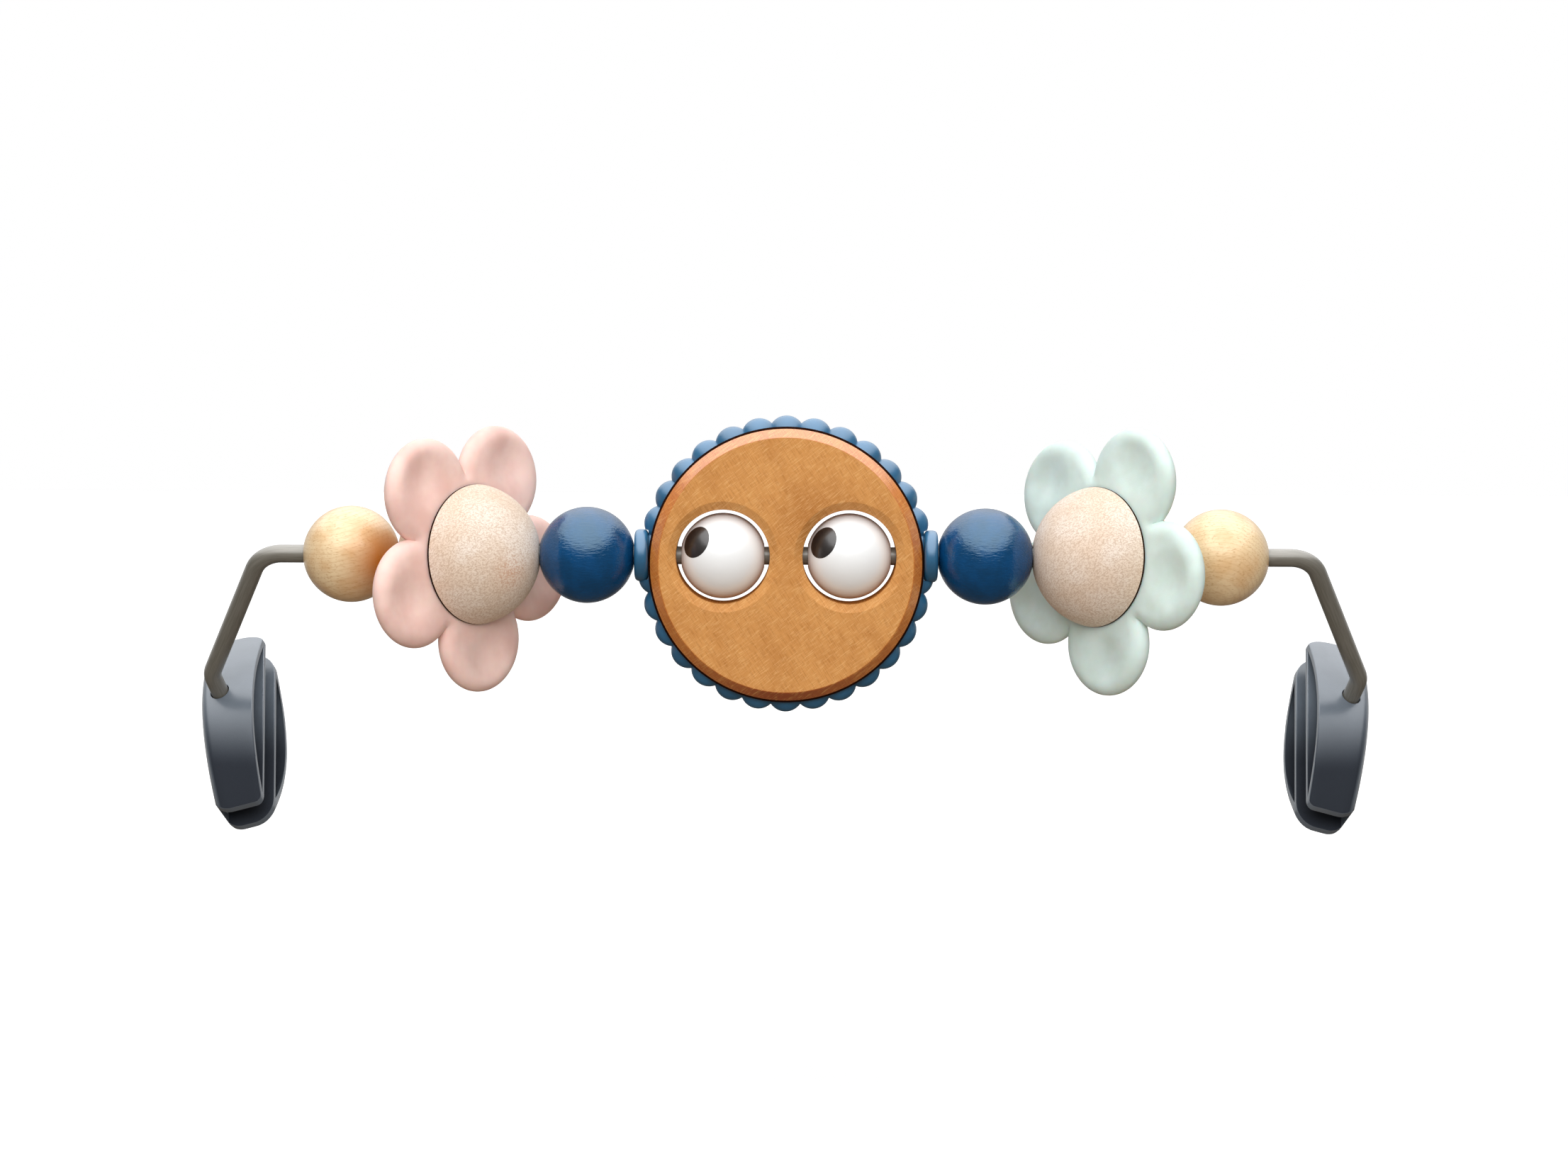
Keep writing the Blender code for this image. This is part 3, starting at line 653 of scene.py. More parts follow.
def eased(corners: Sequence[tuple[float, float, float]], closed: bool, steps: int = 4) -> list[Point]:
    """Rounds the corners of an outline.

    Args:
        corners: Each corner's two coordinates and its rounding radius, zero for a plain point.
        closed: Whether the last corner joins the first.
        steps: How many chords each rounding has.

    Returns:
        The outline's points.
    """
    points: list[Point] = []
    count = len(corners)
    for i, (x, y, radius) in enumerate(corners):
        here = Vector((x, y))
        inner = closed or 0 < i < count - 1
        if not radius or not inner:
            points.append((x, y))
            continue
        back = Vector(corners[i - 1][:2]) - here
        ahead = Vector(corners[(i + 1) % count][:2]) - here
        half = back.angle(ahead) / 2
        longest = LARGEST_CORNER_SHARE * min(back.length, ahead.length)
        reach = min(radius / math.tan(half), longest)
        first = here + back.normalized() * reach
        last = here + ahead.normalized() * reach
        for step in range(steps + 1):
            t = step / steps
            point = first * (1 - t) ** 2 + here * (2 * t * (1 - t)) + last * t**2
            points.append((point.x, point.y))
    return points


def mirrored(outline: Sequence[tuple[float, ...]]) -> list[tuple[float, ...]]:
    """An outline's other half, in reverse order: the first value of each point changes sign."""
    return [(-point[0], *point[1:]) for point in reversed(outline)]


def aimed(way: Vector) -> Matrix:
    """The turn that points a piece's X axis this way."""
    return way.to_track_quat("X", "Z").to_matrix()


def revolved(
    outline: Sequence[Point],
    sides: int,
    closed: bool = True,
    slot: Callable[[float, float], int] | None = None,
    turn: Matrix | None = None,
) -> Shape:
    """Makes a turned piece from its outline, about the X axis.

    Args:
        outline: Points as (place along X, radius).
        sides: How many facets the turned piece has.
        closed: Whether the last point joins the first.
        slot: Picks a facet's material slot from its distance along X and its radius.
        turn: How the finished piece is rotated.

    Returns:
        The mesh, about the X axis unless it is turned.
    """
    mesh = bmesh.new()
    verts = [mesh.verts.new((along, 0.0, radius)) for along, radius in outline]
    pairs = list(zip(verts, verts[1:]))
    if closed:
        pairs.append((verts[-1], verts[0]))
    edges = [mesh.edges.new(pair) for pair in pairs]
    bmesh.ops.spin(mesh, geom=verts + edges, cent=(0, 0, 0), axis=(1, 0, 0), angle=math.tau, steps=sides)
    bmesh.ops.remove_doubles(mesh, verts=mesh.verts[:], dist=SAME_POINT)
    if slot:
        for face in mesh.faces:
            middle = face.calc_center_median()
            face.material_index = slot(abs(middle.x), math.hypot(middle.y, middle.z))
    if turn:
        bmesh.ops.transform(mesh, matrix=turn, verts=mesh.verts[:])
    return mesh


def skinned(loops: Sequence[Sequence[Sequence[float]]], joined: bool) -> Shape:
    """Skins one loop of points after another.

    Args:
        loops: The loops, each with the same number of points.
        joined: Whether the last loop joins the first; otherwise both get a face.

    Returns:
        The mesh.
    """
    mesh = bmesh.new()
    rows = [[mesh.verts.new(point) for point in loop] for loop in loops]
    following = rows[1:] + rows[:1] if joined else rows[1:]
    for row, after in zip(rows, following):
        for i, _ in enumerate(row):
            mesh.faces.new((row[i - 1], row[i], after[i], after[i - 1]))
    if not joined:
        mesh.faces.new(rows[0])
        mesh.faces.new(rows[-1])
    return mesh


def make_object(
    name: str,
    mesh: Shape,
    finishes: Sequence[Finish] = (),
    place: Vector | None = None,
    turn: Matrix | None = None,
) -> Thing:
    """Makes an object of a mesh.

    Args:
        name: The object's name.
        mesh: Its mesh, which is freed.
        finishes: Its materials, one a slot.
        place: Where its origin is, in the frame.
        turn: How it is turned about its origin.

    Returns:
        The object, linked to the scene.
    """
    bmesh.ops.recalc_face_normals(mesh, faces=mesh.faces[:])
    data = bpy.data.meshes.new(name)
    mesh.to_mesh(data)
    mesh.free()
    for finish in finishes:
        data.materials.append(finish.material())
    thing = bpy.data.objects.new(name, data)
    rotation = (turn or Matrix.Identity(3)).to_4x4()
    thing.matrix_world = Matrix.Translation(place or Vector((0, 0, 0))) @ rotation
    bpy.context.scene.collection.objects.link(thing)
    return thing


def settle(thing: Thing) -> None:
    """Applies an object's modifiers, so that only its final mesh is left.

    Args:
        thing: The object.
    """
    bpy.context.view_layer.update()
    graph = bpy.context.evaluated_depsgraph_get()
    final = bpy.data.meshes.new_from_object(thing.evaluated_get(graph))
    thing.modifiers.clear()
    thing.data = final


def bake_turn(thing: Thing) -> None:
    """Moves an object's turn into its mesh, so that its box in the frame is its real one.

    Args:
        thing: The object.
    """
    thing.data.transform(thing.matrix_world.to_3x3().to_4x4())
    thing.matrix_world = Matrix.Translation(thing.matrix_world.translation)


def carve(thing: Thing, cutter: Thing) -> None:
    """Cuts one object out of another, and removes the cutter.

    Args:
        thing: The object to cut.
        cutter: The shape to take away.
    """
    modifier = thing.modifiers.new("cut", "BOOLEAN")
    modifier.operation = "DIFFERENCE"
    modifier.object = cutter
    settle(thing)
    bpy.data.objects.remove(cutter)


def shade(thing: Thing, shading: Shading = Shading.ROUND, angle: float = BORE_EDGE_ANGLE) -> None:
    """Shades an object smooth, with sharp edges where its faces meet at more than an angle.

    Args:
        thing: The object.
        shading: How its normals are made.
        angle: The least angle of a sharp edge, in degrees.
    """
    thing.data.shade_smooth()
    thing.data.set_sharp_from_angle(angle=math.radians(angle))
    if shading is Shading.FLAT_FACED:
        modifier = thing.modifiers.new("flat faces stay flat", "WEIGHTED_NORMAL")
        modifier.keep_sharp = True
        modifier.weight = FLAT_FACE_WEIGHT


def hang(thing: Thing, body: str, node: str | None) -> None:
    """Hangs a finished piece on its body.

    Args:
        thing: The piece, in its place.
        body: The body that it moves with.
        node: The CAD node that it stands for, if there is one.
    """
    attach(thing, body)
    if node:
        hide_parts(node)
    LOG.info("%s rides on %s, %d faces", thing.name, body, len(thing.data.polygons))


# Sub-assemblies


@dataclass
class Bore:
    """The rod's hole, which every piece on the bar shares."""

    radius: float = 3.4 * MM
    easing: float = 0.35 * MM
    overrun: float = 6.0 * MM
    ball_start: float = math.radians(4.0)
    sides: int = 48
    ball_sides: int = 96
    ball_steps: int = 44

    def half_length(self, diameter: float, land: float) -> float:
        """Half the length along the bore of a ball that has a flat ring round each end of it."""
        return math.sqrt((diameter / 2) ** 2 - (self.radius + land) ** 2)

    def drilled_ball(self, diameter: float, land: float, easing: float) -> Shape:
        """A turned ball, drilled along X and flattened round both ends of the hole.

        Args:
            diameter: The ball's diameter.
            land: The width of the flat ring round the hole.
            easing: The rounding of the ring's outer edge.

        Returns:
            The ball's mesh.
        """
        flat = self.radius + land
        half = self.half_length(diameter, land)
        first = math.atan2(flat, half) + self.ball_start
        outside = arc((0, 0), diameter / 2, math.pi - first, first, self.ball_steps)
        end = [(half, flat, easing), (half, self.radius, self.easing)]
        corners = mirrored(end) + [(along, high, 0.0) for along, high in outside] + end
        return revolved(eased(corners, True), self.ball_sides)

    def cutter(self, half: float, outside: float) -> Shape:
        """A shape that drills a ball along X and flattens it round both ends of the hole.

        Args:
            half: Half the length that is left between the flats.
            outside: The ball's radius.

        Returns:
            The cutter's mesh.
        """
        end = outside + self.overrun
        inner = half - self.easing
        wide = self.radius + self.easing
        outline = [(-end, 0), (-end, end), (-half, end), (-half, wide), (-inner, self.radius)]
        return revolved(outline + mirrored(outline), self.sides, closed=False)

    def drill(self, half: float) -> Shape:
        """A plain drill along X.

        Args:
            half: Half the drill's length.

        Returns:
            The cutter's mesh.
        """
        outline = [(-half, 0), (-half, self.radius)]
        return revolved(outline + mirrored(outline), self.sides, closed=False)


@dataclass
class Bead:
    """A turned wooden bead on the bar."""

    node: str
    body: str
    slot: str
    finish: Finish
    place: Vector
    side: Side
    diameter: float = 32.0 * MM
    land: float = 0.6 * MM
    easing: float = 0.5 * MM
    right_spin: float = math.radians(160.0)
    bore: Bore = field(default_factory=Bore)

    def build(self) -> None:
        """Makes the bead and hangs it on its body."""
        mesh = self.bore.drilled_ball(self.diameter, self.land, self.easing)
        # The object itself is spun, so that the two beads of a pair don't show the same grain
        spin = self.right_spin if self.side is Side.RIGHT else 0.0
        turn = Matrix.Rotation(spin, 3, "X")
        bead = make_object(f"{self.node}_turned", mesh, [self.finish], self.place, turn)
        shade(bead)
        hang(bead, self.body, self.node)


@dataclass
class Flower:
    """A drilled ball with a five-petal ring in the groove round it."""

    colour: str
    side: Side
    place: Vector
    petal_finish: Finish
    petal_turn: float
    ball_diameter: float = 47.2 * MM
    land: float = 0.6 * MM
    slant: float = math.radians(50.0)
    tilt: float = math.radians(-4.0)
    seat_depth: float = 3.0 * MM
    gap: float = 0.3 * MM
    thickness: float = 7.0 * MM
    reach: float = 46.0 * MM
    petal_length: float = 34.8 * MM
    petal_width: float = 35.8 * MM
    petal_rounding: float = 5.0 * MM
    petals: int = 5
    hub_margin: float = 4.0 * MM
    dish_depth: float = 1.6 * MM
    dish_length: float = 21.0 * MM
    dish_width: float = 23.0 * MM
    dish_shift: float = 5.5 * MM
    crease: float = 0.8 * MM
    petal_edge_angle: float = 60.0
    groove_easing: float = 0.35 * MM
    # Painted shade: the width of the dark band beside the groove
    groove_stain: float = 0.75 * MM
    groove_edge_angle: float = 32.0
    bore: Bore = field(default_factory=Bore)
    sides: int = 112
    steps: int = 30
    sections_per_petal: int = 44
    stations: int = 20

    @property
    def turn(self) -> Matrix:
        """How the flower's own axis, -Y in its mesh, is turned in the frame."""
        slanted = Matrix.Rotation(-self.side.value * self.slant, 3, "Z")
        return Matrix.Rotation(self.tilt, 3, "X") @ slanted

    def make_ball(self) -> Thing:
        """Makes the wooden ball, its groove and its bore."""
        radius = self.ball_diameter / 2
        half_groove = self.thickness / 2 + self.gap
        floor = radius - self.seat_depth - self.gap
        rim = math.asin((half_groove + self.groove_stain) / radius)
        dome = arc((0, 0), radius, math.pi, math.pi / 2 + rim, self.steps)
        lip = math.sqrt(radius**2 - half_groove**2)
        corners = [(along, max(high, 0.0), 0.0) for along, high in dome]
        corners[0] = (-radius, 0.0, 0.0)
        corners += [(-half_groove, lip, self.groove_easing), (-half_groove, floor, 0.0)]
        # Facets beside the groove get the painted shade where the ball meets its petal ring
        darkened = half_groove + self.groove_stain
        mesh = revolved(
            eased(corners + mirrored(corners), False),
            self.sides,
            closed=False,
            slot=lambda along, out: int(along < darkened),
            turn=self.turn.to_4x4() @ X_TO_Y,
        )
        ball = make_object(f"{self.colour}_ball_turned", mesh, [RAW_BIRCH, PAINTED_GAP_SHADE], self.place)
        half = self.bore.half_length(self.ball_diameter, self.land)
        carve(ball, make_object("drill", self.bore.cutter(half, radius), place=self.place))
        shade(ball, Shading.FLAT_FACED, self.groove_edge_angle)
        return ball

    def edge(self, off: float) -> float:
        """How far a petal reaches at an angle from its middle.

        Args:
            off: The angle from the petal's middle, in radians.

        Returns:
            The distance from the flower's axis.
        """
        long_half = self.petal_length / 2
        wide_half = self.petal_width / 2
        centre = self.reach - long_half
        # Where the line at this angle leaves the petal's ellipse
        square = (math.cos(off) / long_half) ** 2 + (math.sin(off) / wide_half) ** 2
        linear = centre * math.cos(off) / long_half**2
        plain = (centre / long_half) ** 2 - 1
        return (linear + math.sqrt(linear**2 - square * plain)) / square

    def heights(self, radius: float, off: float) -> Point:
        """The front and back heights of the ring over its middle plane.

        Args:
            radius: The distance from the flower's axis.
            off: The angle from the petal's middle, in radians.

        Returns:
            The front height and the back height.
        """
        limit = self.thickness / 2
        long_half = self.petal_length / 2
        wide_half = self.petal_width / 2
        along = radius * math.cos(off) - (self.reach - long_half)
        across = radius * math.sin(off)
        size = math.hypot(along / long_half, across / wide_half)
        petal = self.rounded((1 - size) * (long_half + wide_half) / 2, self.petal_rounding)
        hub = self.rounded(self.ball_diameter / 2 + self.hub_margin - radius, self.hub_margin)
        dish = ((along - self.dish_shift) / (self.dish_length / 2)) ** 2
        dish += (across / (self.dish_width / 2)) ** 2
        hollow = self.dish_depth * max(0.0, 1 - dish) ** 2
        return min(self.blended(petal - hollow, hub), limit), min(self.blended(petal, hub), limit)

    def rounded(self, distance: float, width: float) -> float:
        """The height this far inside an edge that is rounded over a width."""
        share = min(max(distance / width, 0.0), 1.0)
        return self.thickness / 2 * math.sqrt(1 - (1 - share) ** 2)

    def blended(self, first: float, second: float) -> float:
        """The larger of two heights, with a soft crease between them."""
        return (first + second) / 2 + math.sqrt((first - second) ** 2 / 4 + (self.crease / 4) ** 2)

    def section(self, angle: float) -> list[tuple[float, float, float]]:
        """One loop round the ring's material.

        Args:
            angle: The section's angle about the flower's axis, in radians.

        Returns:
            The loop's points, with the flower's axis along -Y.
        """
        step = math.tau / self.petals
        off = (angle - self.petal_turn + step / 2) % step - step / 2
        inside = self.ball_diameter / 2 - self.seat_depth
        edge = self.edge(off)
        # Stations crowd towards the edge, where the petal rounds over
        shares = [1 - (1 - i / self.stations) ** 2 for i in range(self.stations)]
        radii = [inside + (edge - inside) * share for share in shares]
        heights = [self.heights(radius, off) for radius in radii]
        front = [(radius, pair[0]) for radius, pair in zip(radii, heights)]
        back = [(radius, -pair[1]) for radius, pair in zip(radii, heights)]
        loop = front + [(edge, 0.0)] + back[::-1]
        return [(r * math.cos(angle), -high, r * math.sin(angle)) for r, high in loop]

    def make_petals(self) -> Thing:
        """Makes the petal ring."""
        count = self.petals * self.sections_per_petal
        loops = [self.section(self.petal_turn + math.tau * i / count) for i in range(count)]
        mesh = skinned(loops, joined=True)
        name = f"{self.colour}_petals_moulded"
        petals = make_object(name, mesh, [self.petal_finish], self.place, self.turn)
        bake_turn(petals)
        shade(petals, angle=self.petal_edge_angle)
        return petals

    def build(self) -> None:
        """Makes the flower and hangs it on its body."""
        body = f"{self.colour}_flower"
        hang(self.make_ball(), body, f"{self.colour}_flower_ball")
        hang(self.make_petals(), body, f"{self.colour}_petal_ring")


@dataclass
class Face:
    """The wooden disc, the ring of bumps round it and the two collars beside it."""

    axis: Vector
    eye_places: tuple[Vector, Vector]
    radius: float = 45.6 * MM
    half: float = 9.0 * MM
    rise: float = 2.7 * MM
    chamfer: float = 3.4 * MM
    edge_band: float = 0.7 * MM
    groove_easing: float = 0.15 * MM
    rim_easing: float = 0.25 * MM
    face_easing: float = 0.6 * MM
    edge_colour_inset: float = 0.3 * MM
    edge_angle: float = 35.0
    groove_half: float = 4.5 * MM
    ring_thickness: float = 8.4 * MM
    seat_depth: float = 4.1 * MM
    gap: float = 0.3 * MM
    eye_hole: float = 15.5 * MM
    eye_chamfer: float = 2.7 * MM
    eye_chamfer_depth: float = 1.5 * MM
    eye_easing: float = 0.4 * MM
    # Steps into the hole and out from it, in easings: first where the chamfer meets the wall, then the face
    eye_wall_shares: tuple[Point, ...] = ((-0.75, 0.0), (0.0, 0.5))
    eye_face_shares: tuple[Point, ...] = ((-0.875, -1.0), (-0.25, -0.125), (0.25, 1.25))
    eye_colour_share: float = -0.5
    bump_proud: float = 3.6 * MM
    bump_dip: float = 2.3 * MM
    bump_width: float = 10.3 * MM
    collar_diameter: float = 17.3 * MM
    collar_thickness: float = 4.3 * MM
    collar_rounding: float = 1.9 * MM
    nested_gap: float = 0.03 * MM
    bore: Bore = field(default_factory=Bore)
    sides: int = 192
    eye_sides: int = 96
    seat_sides: int = 64
    collar_sides: int = 80
    collar_steps: int = 10
    bump_sections: int = 14
    bump_points: int = 26

    @property
    def centre(self) -> Vector:
        """The disc's centre, a little below the rod."""
        return self.axis - Vector((0, 0, self.rise))

    @property
    def floor(self) -> float:
        """The radius of the groove's floor."""
        return self.radius - self.seat_depth - self.gap

    def disc_slot(self, along: float, out: float) -> int:
        """Picks the finish of a facet of the disc: its turned edge, its chamfers or its faces.

        Args:
            along: The facet's distance from the disc's middle plane.
            out: Its radius.

        Returns:
            The place in the disc's finishes.
        """
        # The turned edge and the groove get the painted shade between the disc and its ring
        if along < self.half - self.chamfer + self.edge_band and out > self.floor - self.gap:
            return DISC_FINISHES.index(PAINTED_GAP_SHADE)
        chamfered = out > self.radius - self.chamfer - self.edge_colour_inset
        return DISC_FINISHES.index(FACE_EDGE if chamfered else FACE_BEECH)

    def make_disc(self) -> Thing:
        """Makes the disc, its eye holes and its bore."""
        turned_edge = self.half - self.chamfer
        front = [
            (self.groove_half, self.floor, 0.0),
            (self.groove_half, self.radius - self.edge_band, 0.0),
            (self.groove_half, self.radius, self.groove_easing),
            (turned_edge, self.radius, self.rim_easing),
            (turned_edge + self.edge_band, self.radius - self.edge_band, 0.0),
            (self.half, self.radius - self.chamfer, self.face_easing),
            (self.half, self.radius - self.chamfer * 2, 0.0),
            (self.half, 0.0, 0.0),
        ]
        outline = eased(mirrored(front) + front, False)
        mesh = revolved(outline, self.sides, closed=False, slot=self.disc_slot, turn=X_TO_Y)
        disc = make_object("face_disc_turned", mesh, DISC_FINISHES, self.centre)
        for place in self.eye_places:
            carve(disc, self.eye_cutter(place))
        carve(disc, make_object("drill", self.bore.drill(self.radius + self.bore.overrun), place=self.axis))
        shade(disc, Shading.FLAT_FACED, self.edge_angle)
        return disc

    def eye_cutter(self, place: Vector) -> Thing:
        """The shape of an eye hole with a softened chamfer at both faces.

        Args:
            place: The eye's centre.

        Returns:
            The cutter.
        """
        easing = self.eye_easing
        wall_end = self.half - self.eye_chamfer_depth
        wide = self.eye_hole + self.eye_chamfer
        mouth = [(wall_end + x * easing, self.eye_hole + out * easing) for x, out in self.eye_wall_shares]
        mouth += [(self.half + x * easing, wide + out * easing) for x, out in self.eye_face_shares]
        end = self.half + self.bore.overrun
        mouth += [(end, mouth[-1][1]), (end, 0.0)]
        walls_end = wall_end + self.eye_colour_share * easing
        wall, chamfer = DISC_FINISHES.index(HOLE_WALL), DISC_FINISHES.index(FACE_BEECH)
        mesh = revolved(
            mirrored(mouth) + mouth,
            self.eye_sides,
            closed=False,
            slot=lambda along, out: wall if along < walls_end else chamfer,
            turn=X_TO_Y,
        )
        return make_object("eye_hole", mesh, DISC_FINISHES, place)

    def make_ring(self) -> Thing:
        """Makes the ring of bumps, cut flat where the collars sit."""
        crest = self.radius + self.bump_proud
        count = round(math.tau * crest / self.bump_width)
        step = math.tau / count
        valley = crest - self.bump_dip
        rise = crest - valley * math.cos(step / 2)
        chord_half = valley * math.sin(step / 2)
        bump = (chord_half**2 + rise**2) / (2 * rise)
        centre_line = crest - bump
        inside = self.radius - self.seat_depth
        loops = []
        for i in range(count * self.bump_sections):
            angle = math.pi / 2 + step * i / self.bump_sections
            off = step * ((i / self.bump_sections + 0.5) % 1 - 0.5)
            reach = math.sqrt(bump**2 - (centre_line * math.sin(off)) ** 2)
            middle = centre_line * math.cos(off)
            thickness = self.ring_thickness / 2 * reach / bump
            limit = math.acos(max(-1.0, (inside - middle) / reach))
            loop = []
            for j in range(self.bump_points):
                around = limit * (1 - 2 * j / (self.bump_points - 1))
                out = middle + reach * math.cos(around)
                loop.append((out * math.cos(angle), thickness * math.sin(around), out * math.sin(angle)))
            loops.append(loop)
        ring = make_object("bump_ring_moulded", skinned(loops, joined=True), [BLUE_RUBBER], self.centre)
        seat = self.collar_diameter / 2 + self.nested_gap
        end = crest + self.bore.overrun
        outline = [(-end, 0), (-end, seat), (-self.radius, seat), (-self.radius, self.bore.radius)]
        cutter = revolved(outline + mirrored(outline), self.seat_sides, closed=False)
        carve(ring, make_object("seat", cutter, place=self.axis))
        shade(ring)
        return ring

    def make_collar(self, side: Side) -> Thing:
        """Makes one collar.

        Args:
            side: The collar's side of the disc.

        Returns:
            The collar.
        """
        half = self.collar_thickness / 2
        outside = self.collar_diameter / 2
        # The soft collar presses on the disc's rim
        inner = half + self.gap - self.nested_gap
        corners = [
            (-inner, self.bore.radius, self.bore.easing),
            (-inner, outside, self.collar_rounding),
            (half, outside, self.collar_rounding),
            (half, self.bore.radius, self.bore.easing),
        ]
        if side is Side.LEFT:
            corners = [(-along, radius, easing) for along, radius, easing in corners]
        mesh = revolved(eased(corners, True, self.collar_steps), self.collar_sides)
        place = self.axis + Vector((side.value * (self.radius + self.gap + half), 0, 0))
        collar = make_object(f"{side.word}_collar_moulded", mesh, [BLUE_RUBBER], place)
        shade(collar)
        return collar

    def build(self) -> None:
        """Makes the face's pieces and hangs them on its body."""
        hang(self.make_disc(), "face", "face_disc")
        hang(self.make_ring(), "face", "scalloped_ring")
        for side in Side:
            hang(self.make_collar(side), "face", f"{side.word}_collar")


@dataclass
class Eye:
    """A white ball on the rod with a dark spot printed on it."""

    side: Side
    place: Vector
    diameter: float = 28.4 * MM
    land: float = 0.4 * MM
    easing: float = 0.4 * MM
    pupil_diameter: float = 10.9 * MM
    pupil_film: float = 0.1 * MM
    pupil_turn: float = math.radians(44.5)
    pupil_lift: float = math.radians(21.6)
    pupil_edge_angle: float = 40.0
    pupil_sides: int = 64
    pupil_steps: int = 12
    bore: Bore = field(default_factory=Bore)

    def make_ball(self) -> Thing:
        """Makes the white ball."""
        mesh = self.bore.drilled_ball(self.diameter, self.land, self.easing)
        ball = make_object(f"{self.side.word}_eye_turned", mesh, [EYE_ENAMEL], self.place)
        shade(ball)
        return ball

    def make_pupil(self) -> Thing:
        """Makes the dark spot as a thin cap that stands on the ball."""
        radius = self.diameter / 2
        spread = math.asin(self.pupil_diameter / self.diameter)
        film = radius + self.pupil_film
        root = radius - self.pupil_film * 2
        edge = spread - self.pupil_film / radius
        outline = arc((0, 0), film, 0, edge, self.pupil_steps)
        outline += [(radius * math.cos(spread), radius * math.sin(spread))]
        outline += arc((0, 0), root, edge, 0, self.pupil_steps)
        outline = [(along, max(high, 0.0)) for along, high in outline]
        mesh = revolved(outline, self.pupil_sides, closed=False)
        level = math.cos(self.pupil_lift)
        across, ahead = math.sin(self.pupil_turn) * level, math.cos(self.pupil_turn) * level
        aim = aimed(Vector((-across, -ahead, math.sin(self.pupil_lift))))
        pupil = make_object(f"{self.side.word}_pupil_print", mesh, [PUPIL_ENAMEL], self.place, aim)
        shade(pupil, angle=self.pupil_edge_angle)
        return pupil

    def build(self) -> None:
        """Makes the eye and hangs it on its body."""
        body = f"eye_{self.side.word}"
        hang(self.make_ball(), body, f"{self.side.word}_eye_ball")
        hang(self.make_pupil(), body, None)


